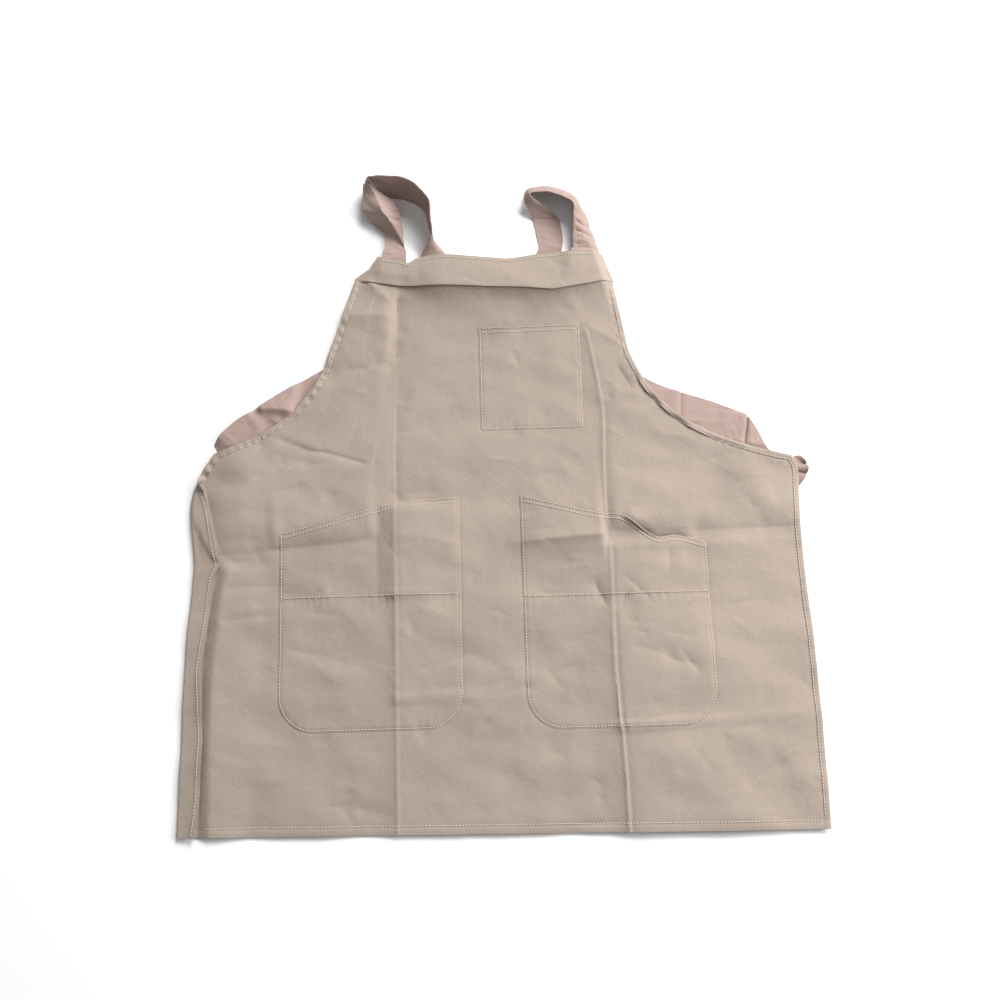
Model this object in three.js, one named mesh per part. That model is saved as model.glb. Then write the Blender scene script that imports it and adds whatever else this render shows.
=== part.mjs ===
// Bib apron with cross-back shoulder straps, lying face up on a flat surface.
// Millimetres, +Z up, +Y from the hem towards the straps.
// Left and right are as seen from above with the hem nearest the viewer.

import * as THREE from 'three';
import { mergeVertices } from 'three/addons/utils/BufferGeometryUtils.js';

// Cloth thicknesses and the clearance between pieces that lie on each other
const CLOTH = 1.2;
const HEM_CLOTH = 2.0;
const BAND_CLOTH = 1.8;
const STRAP_CLOTH = 1.6;
const GAP = 0.3;
const HEM_WIDTH = 10;
const HEM_STEP = 3;

// Moves the pattern's own origin to the middle of the finished outline
const CENTRE_SHIFT = { x: 5.5, y: 5.5 };

// Panel outline: the hem slants a little, the sides run up to the waist corners,
// the armholes are curves with two handles each, and the bib narrows upwards
const HEM = { left: -398, right: -410, middle: -404, fadeEnd: -300 };
const BIB_TOP = 297;
const HALF_HEM = 380;
const LEFT_SIDE = [
  { x: -380, y: -424 }, { x: -377, y: -200 }, { x: -370, y: -80 }, { x: -377, y: -18 }, { x: -367, y: 22 },
  { x: -350, y: 48 },
];
const RIGHT_SIDE = [
  { x: 358, y: -424 }, { x: 360, y: -280 }, { x: 356, y: -60 }, { x: 359, y: 6 }, { x: 352, y: 26 },
];
const LEFT_ARMHOLE = [{ x: -350, y: 48 }, { x: -296, y: 66 }, { x: -238, y: 98 }, { x: -216, y: 160 }];
const RIGHT_ARMHOLE = [{ x: 352, y: 26 }, { x: 262, y: 46 }, { x: 184, y: 84 }, { x: 161, y: 169 }];
const BIB_CORNER = { left: -172, right: 139 };

// Fold lines left by storage: two lengthwise, one across the waist, one across the bib
const FOLD_X = { left: -131, right: 131, drift: 30, driftFrom: 120 };
const WAIST = -66;
const FOLD_REACH = 16;
const FOLD_SHOULDER = 7;
const FOLDS = [
  { name: 'left', across: 'x', at: FOLD_X.left, height: 1.5, from: -420, to: 235 },
  { name: 'right', across: 'x', at: FOLD_X.right, height: 1.5, from: -420, to: 170 },
  { name: 'waist', across: 'y', at: WAIST, height: 0.8, from: -390, to: 380 },
  { name: 'bib', across: 'y', at: 109, height: 0.7, from: 60, to: 230 },
];
const FOLD_FADE = 40;

// Broad swells where the cloth stands off the surface
const SWELLS = [
  { x: -240, y: -385, reachX: 75, reachY: 45, height: 2.0 },
  { x: 30, y: -395, reachX: 80, reachY: 40, height: 1.8 },
  { x: 255, y: -385, reachX: 80, reachY: 45, height: 2.0 },
  { x: -310, y: -20, reachX: 55, reachY: 45, height: 1.8 },
  { x: 300, y: -15, reachX: 55, reachY: 50, height: 1.8 },
  { x: -180, y: 175, reachX: 40, reachY: 60, height: 1.6 },
];

// Rows of the panel's grid, close together where the armholes run nearly across
const ROW_BANDS = [
  { from: HEM.middle + HEM_WIDTH + HEM_STEP, to: WAIST - 2 * FOLD_REACH, steps: 11 },
  { from: WAIST - 2 * FOLD_REACH, to: WAIST + 2 * FOLD_REACH, steps: 8 },
  { from: WAIST + 2 * FOLD_REACH, to: 12, steps: 3 },
  { from: 12, to: 60, steps: 6 },
  { from: 60, to: 156, steps: 7 },
  { from: 156, to: BIB_TOP, steps: 8 },
];
const COLUMNS = { side: 6, middle: 8, roomyBlock: 70 };

// Left side margin: flat beside the armhole, folded over to the front below the waist
const MARGIN = { flatTo: 0, foldedFrom: -34, wideFrom: -92, width: 20, hemWidth: 5, radius: 1.5 };
const MARGIN_BEND = Math.PI * MARGIN.radius;
const MARGIN_COLUMNS = { flap: 2, bend: 5 };

// Straps: x, y, z is the middle of a section, turn the heading of its left edge,
// lean how far that edge stands up (degrees), seat how much it rides on the panel
const STRAP_WIDTH = 42;
const FLAT = STRAP_CLOTH / 2;
const STRAP_LEFT = [
  { x: -129, y: 267, z: FLAT, turn: 180, lean: 0, width: 32, seat: 1 },
  { x: -129, y: 298, z: FLAT, turn: 180, lean: 0, width: 30, seat: 1 },
  { x: -131, y: 312, z: 4.0, turn: 176, lean: 0, width: 31, seat: 0 },
  { x: -137, y: 331, z: 7, turn: 155, lean: 4, width: 40, seat: 0 },
  { x: -147, y: 353, z: 24, turn: 152, lean: 12, width: STRAP_WIDTH, seat: 0 },
  { x: -149, y: 373, z: 22.5, turn: 138, lean: 36, width: STRAP_WIDTH, seat: 0 },
  { x: -143, y: 386, z: 22, turn: 114, lean: 60, width: STRAP_WIDTH, seat: 0 },
  { x: -128, y: 388, z: 22, turn: 94, lean: 70, width: STRAP_WIDTH, seat: 0 },
  { x: -110, y: 383, z: 22.5, turn: 72, lean: 74, width: STRAP_WIDTH, seat: 0 },
  { x: -95, y: 371, z: 22.5, turn: 45, lean: 78, width: STRAP_WIDTH, seat: 0 },
  { x: -86, y: 354, z: 22, turn: 20, lean: 80, width: 40, seat: 0 },
  { x: -82, y: 334, z: 18, turn: 6, lean: 76, width: 36, seat: 0 },
  { x: -80, y: 320, z: 13.5, turn: 0, lean: 44, width: 36, seat: 0 },
  { x: -76, y: 303, z: FLAT, turn: 6, lean: 0, width: 38, seat: 0 },
  { x: -62, y: 284, z: FLAT, turn: 34, lean: 0, width: STRAP_WIDTH, seat: 0 },
  { x: -30, y: 261, z: FLAT, turn: 53, lean: 0, width: STRAP_WIDTH, seat: 0 },
  { x: 60, y: 197, z: FLAT, turn: 55, lean: 0, width: STRAP_WIDTH, seat: 0 },
  { x: 150, y: 136, z: FLAT, turn: 58, lean: 0, width: STRAP_WIDTH, seat: 0 },
  { x: 215, y: 97, z: FLAT, turn: 62, lean: 0, width: STRAP_WIDTH, seat: 0 },
  { x: 278, y: 66, z: FLAT, turn: 60, lean: 0, width: STRAP_WIDTH, seat: 0 },
  { x: 318, y: 38, z: FLAT, turn: 42, lean: 0, width: STRAP_WIDTH, seat: 0 },
  { x: 340, y: 10, z: FLAT, turn: 22, lean: 0, width: STRAP_WIDTH, seat: 0 },
  { x: 349, y: -14, z: FLAT, turn: 14, lean: 0, width: STRAP_WIDTH, seat: 0 },
];
const STRAP_RIGHT = [
  { x: 113, y: 263, z: FLAT, turn: 180, lean: 0, width: 38, seat: 1 },
  { x: 113, y: 298, z: FLAT, turn: 180, lean: 0, width: 38, seat: 1 },
  { x: 112, y: 312, z: 5.4, turn: 183, lean: -5, width: 38, seat: 0 },
  { x: 109, y: 329, z: 11, turn: 192, lean: -20, width: 40, seat: 0 },
  { x: 101, y: 348, z: 18.5, turn: 212, lean: -50, width: STRAP_WIDTH, seat: 0 },
  { x: 87, y: 360, z: 22, turn: 242, lean: -72, width: STRAP_WIDTH, seat: 0 },
  { x: 69, y: 366, z: 22.5, turn: 266, lean: -80, width: STRAP_WIDTH, seat: 0 },
  { x: 53, y: 364, z: 22, turn: 292, lean: -76, width: STRAP_WIDTH, seat: 0 },
  { x: 46, y: 352, z: 18, turn: 326, lean: -58, width: 40, seat: 0 },
  { x: 52, y: 336, z: 9.8, turn: 356, lean: -26, width: 38, seat: 0 },
  { x: 62, y: 319, z: 3.2, turn: 366, lean: -4, width: 36, seat: 0 },
  { x: 68, y: 304, z: FLAT, turn: 358, lean: 0, width: 36, seat: 0 },
  { x: 60, y: 284, z: FLAT, turn: 334, lean: 0, width: 40, seat: 0 },
  { x: 30, y: 264, z: FLAT, turn: 308, lean: 0, width: STRAP_WIDTH, seat: 0 },
  { x: -60, y: 218, z: FLAT, turn: 301, lean: 0, width: STRAP_WIDTH, seat: 0 },
  { x: -160, y: 163, z: FLAT, turn: 300, lean: 0, width: STRAP_WIDTH, seat: 0 },
  { x: -245, y: 113, z: FLAT, turn: 301, lean: 0, width: STRAP_WIDTH, seat: 0 },
  { x: -302, y: 78, z: FLAT, turn: 304, lean: 0, width: STRAP_WIDTH, seat: 0 },
  { x: -334, y: 52, z: FLAT, turn: 322, lean: 0, width: STRAP_WIDTH, seat: 0 },
  { x: -348, y: 20, z: FLAT, turn: 344, lean: 0, width: STRAP_WIDTH, seat: 0 },
];
const SECTIONS_PER_STATION = 2.6;
const STRAP_STRIPS = 3;

// The panel rises over the straps behind it and falls off slowly beside them
const STRAP_STEP = STRAP_CLOTH + 2 * GAP;
const STRAP_SHELF = STRAP_WIDTH / 2 + 10;
const STRAP_FALL = 60;

// Patch pockets: sides, foot, rounded corners, and the mouth's height from left to right
const PUFF = 7;
const CHEST_POCKET = {
  left: -25, right: 102, foot: 69, corner: 3, seam: null, puff: PUFF, sag: null,
  mouth: [{ x: -25, y: 201 }, { x: 102, y: 203 }],
};
const POCKET_LEFT = {
  left: -269, right: -53, foot: -287, corner: 42, seam: -132, puff: PUFF, sag: null,
  mouth: [{ x: -269, y: -54 }, { x: -200, y: -37 }, { x: -131, y: -20 }, { x: -53, y: -13 }],
};
const POCKET_RIGHT = {
  left: 20, right: 241, foot: -291, corner: 42, seam: -138, puff: PUFF,
  sag: { x: 180, reach: 45, height: 5 },
  mouth: [{ x: 20, y: -14 }, { x: 131, y: -38 }, { x: 180, y: -68 }, { x: 212, y: -67 }, { x: 241, y: -78 }],
};
const POCKET_SEAM_CLOTH = 1.8;
const POCKET_EDGE = 0.28;
const POCKET_OPEN = { from: 0.3, to: 0.85, sagFrom: 0.75 };
const POCKET_GRID = { corner: 3, lower: 4, upper: 6, plain: 10, beside: 5 };
const POCKET_SEAT = 12;

// Band across the bib, raised where the sewn strap ends lie under it
const BAND = { top: BIB_TOP + 1, leftFoot: 271, middleFoot: 256, rightFoot: 261, middleAt: 0.55 };
const BAND_GRID = { columns: 24, rows: 3 };
const BAND_RAMP = { from: 8, to: 34 };
const BAND_SEAT = 8;

const COLOUR = { cloth: 0xbcac9f, strap: 0xbea59c };

// Small helpers
const { degToRad, clamp, lerp, smoothstep } = THREE.MathUtils;
const at = (x, y) => new THREE.Vector2(x, y);
const points = (table) => table.map(({ x, y }) => at(x, y));

function spread(from, to, steps) {
  return Array.from({ length: steps }, (_, i) => lerp(from, to, i / steps));
}

// Unit vector with a heading in the plane and a rise out of it, both in degrees
function direction(turn, lean) {
  const level = Math.cos(degToRad(lean));
  return new THREE.Vector3(
    level * Math.cos(degToRad(turn)), level * Math.sin(degToRad(turn)), Math.sin(degToRad(lean)));
}

// Point of a curve at height y, for a curve that climbs steadily
function xAtHeight(curve, y) {
  let low = 0;
  let high = 1;
  for (let step = 0; step < 40; step += 1) {
    const middle = (low + high) / 2;
    if (curve.getPoint(middle).y < y) low = middle;
    else high = middle;
  }
  return curve.getPoint(low).x;
}

function edgeOf(curves) {
  return (y) => {
    const curve = curves.find((c) => y <= c.getPoint(1).y) ?? curves.at(-1);
    return xAtHeight(curve, y);
  };
}

// Panel outline, from the hem up to the top of the bib
function outlineSide(side, armhole, bibCorner) {
  return edgeOf([
    new THREE.SplineCurve(points(side)),
    new THREE.CubicBezierCurve(...points(armhole)),
    new THREE.LineCurve(points(armhole).at(-1), at(bibCorner, BIB_TOP)),
  ]);
}

const leftEdge = outlineSide(LEFT_SIDE, LEFT_ARMHOLE, BIB_CORNER.left);
const rightEdge = outlineSide(RIGHT_SIDE, RIGHT_ARMHOLE, BIB_CORNER.right);
const rightFold = (y) => FOLD_X.right - FOLD_X.drift * smoothstep(y, FOLD_X.driftFrom, BIB_TOP);

// Height of the panel's underside
function foldHeight(fold, x, y) {
  const along = fold.across === 'x' ? y : x;
  const line = fold.name === 'right' ? rightFold(y) : fold.at;
  const off = Math.abs((fold.across === 'x' ? x : y) - line) / FOLD_REACH;
  const fade = smoothstep(along, fold.from, fold.from + FOLD_FADE)
    * (1 - smoothstep(along, fold.to - FOLD_FADE, fold.to));
  return fold.height * fade * (1 - Math.min(1, off)) ** 2;
}

function swellHeight(swell, x, y) {
  const off = Math.hypot((x - swell.x) / swell.reachX, (y - swell.y) / swell.reachY);
  return swell.height * (1 - smoothstep(off, 0, 1));
}

// Ground track of the stretch of a strap that lies under the panel
function groundTrack(stations) {
  const lowest = stations.findLastIndex((s) => s.lean !== 0) + 1;
  const corners = points(stations.slice(lowest - 1));
  return corners.slice(1).map((end, i) => ({ start: corners[i], end }));
}

function shelf(track, x, y) {
  const nearest = track.reduce((best, leg) => {
    const along = leg.end.clone().sub(leg.start);
    const share = clamp(at(x, y).sub(leg.start).dot(along) / along.lengthSq(), 0, 1);
    return Math.min(best, leg.start.clone().addScaledVector(along, share).distanceTo(at(x, y)));
  }, Infinity);
  return 1 - smoothstep(nearest, STRAP_SHELF, STRAP_SHELF + STRAP_FALL);
}

const trackLeft = groundTrack(STRAP_LEFT);
const trackRight = groundTrack(STRAP_RIGHT);
const overLeftStrap = (x, y) => STRAP_STEP * shelf(trackLeft, x, y);

function panelUnder(x, y) {
  const folds = FOLDS.reduce((sum, fold) => sum + foldHeight(fold, x, y), 0);
  const swells = SWELLS.reduce((sum, swell) => sum + swellHeight(swell, x, y), 0);
  return overLeftStrap(x, y) + STRAP_STEP * shelf(trackRight, x, y) + folds + swells;
}

const panelTop = (x, y) => panelUnder(x, y) + CLOTH;

// Highest panel point close by, so that a coarser piece on top stays clear of it
function seatTop(x, y, reach) {
  return Math.max(...[-1, -0.5, 0, 0.5, 1].map((step) => panelTop(x, y + step * reach)));
}

// A sheet is a segmented box whose grid corners are moved to their places
function sheet(columns, rows, place) {
  const geometry = new THREE.BoxGeometry(1, 1, 1, columns, rows, 1);
  const position = geometry.attributes.position;
  for (let k = 0; k < position.count; k += 1) {
    const column = Math.round((position.getX(k) + 0.5) * columns);
    const row = Math.round((position.getY(k) + 0.5) * rows);
    const spot = place(column, row, position.getZ(k) > 0);
    position.setXYZ(k, spot.x, spot.y, spot.z);
  }
  geometry.deleteAttribute('normal');
  geometry.deleteAttribute('uv');
  return mergeVertices(geometry, 1e-4);
}

// How far the left margin is folded over at height y, and how wide its flap is
const marginFold = (y) => Math.PI * (1 - smoothstep(y, MARGIN.foldedFrom, MARGIN.flatTo));
function marginFlap(y) {
  return lerp(MARGIN.width, MARGIN.hemWidth, smoothstep(y, MARGIN.wideFrom, MARGIN.foldedFrom));
}

function marginLine(y) {
  const folded = marginFold(y) / Math.PI;
  return leftEdge(y) + lerp(MARGIN_BEND + MARGIN.hemWidth, MARGIN.radius, folded);
}

// The margin rolls round its fold line and then runs straight to its free edge
function marginSpot(column, y, upper) {
  const fold = Math.max(marginFold(y), 1e-3);
  const fromLine = MARGIN_COLUMNS.flap + MARGIN_COLUMNS.bend - column;
  const bend = fold * Math.min(1, fromLine / MARGIN_COLUMNS.bend);
  const flap = marginFlap(y) * Math.max(0, fromLine - MARGIN_COLUMNS.bend) / MARGIN_COLUMNS.flap;
  const radius = MARGIN_BEND / fold;
  const inward = (upper ? 0.5 : -0.5) * HEM_CLOTH;
  const x = marginLine(y) - (radius - inward) * Math.sin(bend) - flap * Math.cos(bend);
  const z = radius - (radius - inward) * Math.cos(bend) + flap * Math.sin(bend);
  return new THREE.Vector3(x, y, panelUnder(leftEdge(y), y) + HEM_CLOTH / 2 + z);
}

// Panel grid: the columns follow the side hems and both lengthwise folds
function panelColumns(y) {
  const left = marginLine(y);
  const right = rightEdge(y);
  const foldLeft = FOLD_X.left;
  const foldRight = rightFold(y);
  const tight = Math.min(1, (right - foldRight) / COLUMNS.roomyBlock);
  const nearFold = FOLD_REACH * tight;
  const shoulder = FOLD_SHOULDER * tight;
  const hem = HEM_WIDTH * tight;
  const hemStep = (HEM_WIDTH + HEM_STEP) * tight;
  return [
    left,
    ...spread(left + HEM_STEP, foldLeft - FOLD_REACH, COLUMNS.side),
    foldLeft - FOLD_REACH, foldLeft - FOLD_SHOULDER, foldLeft, foldLeft + FOLD_SHOULDER,
    ...spread(foldLeft + FOLD_REACH, foldRight - FOLD_REACH, COLUMNS.middle),
    foldRight - FOLD_REACH, foldRight - FOLD_SHOULDER, foldRight, foldRight + shoulder,
    ...spread(foldRight + nearFold, right - hemStep, COLUMNS.side),
    right - hemStep, right - hem, right,
  ];
}

const PANEL_ROWS = [
  HEM.middle, HEM.middle + HEM_WIDTH,
  ...ROW_BANDS.flatMap(({ from, to, steps }) => spread(from, to, steps)), BIB_TOP,
];

function hemShift(x, y) {
  const slant = lerp(HEM.left, HEM.right, (x + HALF_HEM) / (2 * HALF_HEM)) - HEM.middle;
  return slant * (1 - smoothstep(y, HEM.middle, HEM.fadeEnd));
}

function panelSheet() {
  const grid = PANEL_ROWS.map((y) => panelColumns(y).map((x) => at(x, y + hemShift(x, y))));
  const wrapped = MARGIN_COLUMNS.flap + MARGIN_COLUMNS.bend;
  const columns = wrapped + grid[0].length - 1;
  return sheet(columns, PANEL_ROWS.length - 1, (column, row, upper) => {
    if (column < wrapped) return marginSpot(column, grid[row][0].y, upper);
    const { x, y } = grid[row][column - wrapped];
    const hemmed = column === wrapped || column > columns - 2 || row < 2;
    const thick = hemmed ? HEM_CLOTH : CLOTH;
    return new THREE.Vector3(x, y, panelUnder(x, y) + (upper ? thick : 0));
  });
}

// Pocket grid: the sides curve in to the rounded foot, the top row follows the mouth
function mouthHeight(pocket, x) {
  const right = pocket.mouth.findIndex((p, i) => i > 0 && x <= p.x);
  const end = pocket.mouth.at(right);
  const start = pocket.mouth.at(right < 0 ? -2 : right - 1);
  return lerp(start.y, end.y, (x - start.x) / (end.x - start.x));
}

function pocketColumns(pocket, inset) {
  const left = pocket.left + inset;
  const right = pocket.right - inset;
  const fold = [FOLD_X.left, FOLD_X.right].find((x) => x > left && x < right);
  if (fold === undefined) return spread(left, right, POCKET_GRID.plain).concat(right);
  return [
    ...spread(left, fold - FOLD_REACH, POCKET_GRID.beside), fold - FOLD_REACH, fold - FOLD_SHOULDER, fold,
    fold + FOLD_SHOULDER, ...spread(fold + FOLD_REACH, right, POCKET_GRID.beside), right,
  ];
}

function pocketSheet(pocket) {
  const turns = spread(0, Math.PI / 2, POCKET_GRID.corner).concat(Math.PI / 2);
  const middle = pocket.seam ?? lerp(pocket.foot, pocket.mouth[0].y, 0.5);
  const cornerTop = pocket.foot + pocket.corner;
  const levels = [
    ...turns.map((angle) => ({
      y: cornerTop - pocket.corner * Math.cos(angle), inset: pocket.corner * (1 - Math.sin(angle)), rise: 0,
    })),
    ...spread(cornerTop, middle, POCKET_GRID.lower).slice(1).map((y) => ({ y, inset: 0, rise: 0 })),
    ...spread(0, 1, POCKET_GRID.upper).concat(1).map((rise) => ({ y: middle, inset: 0, rise })),
  ];
  const grid = levels.map(({ y, inset, rise }) => pocketColumns(pocket, inset)
    .map((x) => at(x, lerp(y, mouthHeight(pocket, x), rise))));
  const columns = grid[0].length - 1;
  return sheet(columns, levels.length - 1, (column, row, upper) => {
    const { x, y } = grid[row][column];
    const share = (x - pocket.left) / (pocket.right - pocket.left);
    const depth = (y - pocket.foot) / (mouthHeight(pocket, x) - pocket.foot);
    const open = smoothstep(share, 0, POCKET_EDGE) * smoothstep(1 - share, 0, POCKET_EDGE);
    const sag = pocket.sag
      ? pocket.sag.height * (1 - smoothstep(Math.abs(x - pocket.sag.x), 0, pocket.sag.reach)) : 0;
    const lift = pocket.puff * smoothstep(depth, POCKET_OPEN.from, POCKET_OPEN.to)
      + sag * smoothstep(depth, POCKET_OPEN.sagFrom, 1);
    const thick = pocket.seam !== null && y >= pocket.seam - 1 ? POCKET_SEAM_CLOTH : CLOTH;
    return new THREE.Vector3(x, y, seatTop(x, y, POCKET_SEAT) + GAP + open * lift + (upper ? thick : 0));
  });
}

// The band lies on the bib's front and over the sewn ends of both straps
function overStrapEnds(x) {
  const ends = [STRAP_LEFT[0], STRAP_RIGHT[0]];
  return Math.max(...ends.map((end) => {
    const off = Math.abs(x - end.x) - end.width / 2;
    return STRAP_STEP * (1 - smoothstep(off, BAND_RAMP.from, BAND_RAMP.to));
  }));
}

function bandSheet() {
  const dip = 2 * BAND.middleFoot - (BAND.leftFoot + BAND.rightFoot) / 2;
  const foot = new THREE.QuadraticBezierCurve(
    at(0, BAND.leftFoot), at(BAND.middleAt, dip), at(1, BAND.rightFoot));
  return sheet(BAND_GRID.columns, BAND_GRID.rows, (column, row, upper) => {
    const share = column / BAND_GRID.columns;
    const y = lerp(foot.getPoint(share).y, BAND.top, row / BAND_GRID.rows);
    const x = lerp(leftEdge(y), rightEdge(y), share);
    const under = seatTop(x, y, BAND_SEAT) + HEM_CLOTH - CLOTH + GAP + overStrapEnds(x);
    return new THREE.Vector3(x, y, under + (upper ? BAND_CLOTH : 0));
  });
}

// A strap is a ribbon through its stations; its base rides on the panel's front
function strapSheet(stations, crossing) {
  const path = new THREE.CatmullRomCurve3(
    stations.map((s) => new THREE.Vector3(s.x, s.y, s.z)), false, 'catmullrom', 0.5);
  const sections = Math.round((stations.length - 1) * SECTIONS_PER_STATION);
  return sheet(sections, STRAP_STRIPS, (section, strip, upper) => {
    const share = section / sections;
    const station = share * (stations.length - 1);
    const before = stations[Math.floor(station)];
    const after = stations[Math.ceil(station)];
    const between = (column) => lerp(before[column], after[column], station % 1);
    const centre = path.getPoint(share);
    const width = between('width');
    const side = direction(between('turn'), between('lean'));
    const normal = path.getTangent(share).cross(side).normalize();
    const halfHeight = Math.abs(side.z) * width / 2 + Math.abs(normal.z) * FLAT;
    centre.z = Math.max(centre.z, halfHeight);
    const spot = centre.addScaledVector(side, width * (strip / STRAP_STRIPS - 0.5));
    spot.z += between('seat') * (panelTop(spot.x, spot.y) + HEM_CLOTH - CLOTH + GAP);
    spot.z += crossing(spot.x, spot.y);
    return spot.addScaledVector(normal, (upper ? 0.5 : -0.5) * STRAP_CLOTH);
  });
}

function piece(name, geometry, colour) {
  geometry.computeVertexNormals();
  const material = new THREE.MeshStandardMaterial({ color: colour, roughness: 0.95, metalness: 0 });
  const mesh = new THREE.Mesh(geometry, material);
  mesh.name = name;
  return mesh;
}

// Assembly
const apron = new THREE.Group();
apron.add(
  piece('body_panel', panelSheet(), COLOUR.cloth),
  piece('bib_band', bandSheet(), COLOUR.cloth),
  piece('chest_pocket', pocketSheet(CHEST_POCKET), COLOUR.cloth),
  piece('pocket_left', pocketSheet(POCKET_LEFT), COLOUR.cloth),
  piece('pocket_right', pocketSheet(POCKET_RIGHT), COLOUR.cloth),
  piece('strap_left', strapSheet(STRAP_LEFT, () => 0), COLOUR.strap),
  piece('strap_right', strapSheet(STRAP_RIGHT, overLeftStrap), COLOUR.strap),
);
apron.position.set(CENTRE_SHIFT.x, CENTRE_SHIFT.y, 0);

export default apron;
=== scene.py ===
"""Bib apron with cross-back shoulder straps, lying face up on a pale floor.

Cloth sizes are in millimetres in the pattern's own frame: +Y runs from the hem towards
the straps, and left and right are as seen from above with the hem nearest the viewer.
Meshes are made in metres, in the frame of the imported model.
"""

import logging
import math
from dataclasses import dataclass, field
from enum import Enum
from typing import ClassVar

import bpy
import numpy as np
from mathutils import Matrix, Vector


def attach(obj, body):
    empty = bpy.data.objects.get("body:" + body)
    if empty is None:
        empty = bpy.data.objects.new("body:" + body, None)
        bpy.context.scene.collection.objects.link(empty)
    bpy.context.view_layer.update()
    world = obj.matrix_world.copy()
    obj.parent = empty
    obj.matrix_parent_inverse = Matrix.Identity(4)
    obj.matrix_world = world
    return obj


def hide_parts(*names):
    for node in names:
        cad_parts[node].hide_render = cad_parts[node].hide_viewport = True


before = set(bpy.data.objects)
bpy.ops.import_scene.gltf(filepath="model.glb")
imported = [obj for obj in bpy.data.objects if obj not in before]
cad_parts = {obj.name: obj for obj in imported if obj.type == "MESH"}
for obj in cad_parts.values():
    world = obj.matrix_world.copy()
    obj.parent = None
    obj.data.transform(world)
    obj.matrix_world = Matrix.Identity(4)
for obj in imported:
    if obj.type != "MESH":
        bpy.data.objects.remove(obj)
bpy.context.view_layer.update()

Array = np.ndarray
Point = tuple[float, float]
Range = tuple[float, float]
Spot = tuple[float, float, float]

LOG = logging.getLogger("apron")
BODY = "root"
CLOTH_MAP = "cloth"
SMOOTH_ANGLE = 50.0

# Units, and the step from the pattern's origin to the frame's
MM = 0.001
CENTRE_SHIFT = (5.5, 5.5)

# Cloth thicknesses and clearances
CLOTH = 0.9
BAND_CLOTH = 1.5
STRAP_CLOTH = 1.2
GAP = 0.12
RESTING = 2.4
OVER_FLOOR = 0.05

# A reach so wide that a crease leaves that side of its line as it was
FAR = 10000.0


class Profile(Enum):
    """How a crease falls off to its sides."""

    SOFT = "soft"
    TENT = "tent"
    BANK = "bank"


class Held(Enum):
    """How a sheet of cloth is held."""

    LAID = "laid"
    FOLDED = "folded"


class Slot(Enum):
    """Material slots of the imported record."""

    CLOTH = "apron_cloth"
    STRAP = "strap_cloth"


# Small curve and number helpers

def smoothstep(value: Array | float, start: float, end: float) -> Array:
    """Smooth share of the way from start to end."""
    share = np.clip((np.asarray(value, dtype=float) - start) / (end - start), 0.0, 1.0)
    return share * share * (3.0 - 2.0 * share)


def mix(start: Array | float, end: Array | float, share: Array | float) -> Array:
    """Straight blend from start to end."""
    return start + (end - start) * np.asarray(share, dtype=float)


def catmull_rom(points: Array, share: Array) -> Array:
    """Points on a smooth curve through the given points.

    Args:
        points: Corner points, one row each.
        share: Places along the curve, from 0 to 1.

    Returns:
        One row for each place.
    """
    count = len(points)
    place = np.clip(share, 0.0, 1.0) * (count - 1)
    leg = np.minimum(place.astype(int), count - 2)
    t = (place - leg)[:, None]
    before = points[np.maximum(leg - 1, 0)]
    start, end = points[leg], points[leg + 1]
    after = points[np.minimum(leg + 2, count - 1)]
    slope_in, slope_out = (end - before) / 2, (after - start) / 2
    cubic = 2 * (start - end) + slope_in + slope_out
    square = 3 * (end - start) - 2 * slope_in - slope_out
    return ((cubic * t + square) * t + slope_in) * t + start


def bezier(points: Array, share: Array) -> Array:
    """Points on a cubic curve with two handles.

    Args:
        points: Start, two handles and end, one row each.
        share: Places along the curve, from 0 to 1.

    Returns:
        One row for each place.
    """
    t = share[:, None]
    weights = ((1 - t) ** 3, 3 * t * (1 - t) ** 2, 3 * t * t * (1 - t), t ** 3)
    return sum(weight * point for weight, point in zip(weights, points))


def graded(start: float, end: float, steps: int, dense: float = 0.0) -> Array:
    """Steps from start to end without the end itself.

    Args:
        start: First value.
        end: Value after the last step.
        steps: Number of steps.
        dense: How much closer together they are at both ends, from 0 to 1.

    Returns:
        One value for each step.
    """
    share = np.arange(steps) / steps
    eased_share = share - dense * np.sin(2 * np.pi * share) / (2 * np.pi)
    return mix(start, end, eased_share)


def hump(offset: Array, reach: float) -> Array:
    """A smooth hump, 1 high, that falls off to both sides."""
    return np.exp(-(offset / reach) ** 2)


def window(value: Array, rise: Range, fall: Range) -> Array:
    """Share that grows from 0 to 1 over one range and shrinks again over another."""
    return smoothstep(value, *rise) * (1 - smoothstep(value, *fall))


def walked_along(points: Array) -> Array:
    """Distance along a line of points, one for each point."""
    return np.concatenate(((0.0,), np.cumsum(np.linalg.norm(np.diff(points, axis=0), axis=1))))


def read_off(at: Array, places: Array, table: Array) -> Array:
    """Each column of a table, read off between the places of its rows."""
    return np.stack([np.interp(at, places, column) for column in table.T], axis=-1)


def paired(x: Array | float, y: Array | float) -> Array:
    """Flat places from their two coordinates."""
    return np.stack(np.broadcast_arrays(x, y), axis=-1)


def raised(flat: Array, z: Array) -> Array:
    """Flat places with a height for each."""
    return np.concatenate((flat, z[..., None]), axis=-1)


def eased(values: Array, spread: float) -> Array:
    """Values blended with their neighbours, column by column.

    Args:
        values: One row for each place.
        spread: How many rows the blend reaches.

    Returns:
        As many rows.
    """
    reach = int(3 * spread)
    kernel = hump(np.arange(-reach, reach + 1), math.sqrt(2) * spread)
    kernel /= kernel.sum()
    padded = np.pad(values, ((reach, reach), (0, 0)), mode="edge")
    return np.stack([np.convolve(column, kernel, mode="valid") for column in padded.T], axis=-1)


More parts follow.
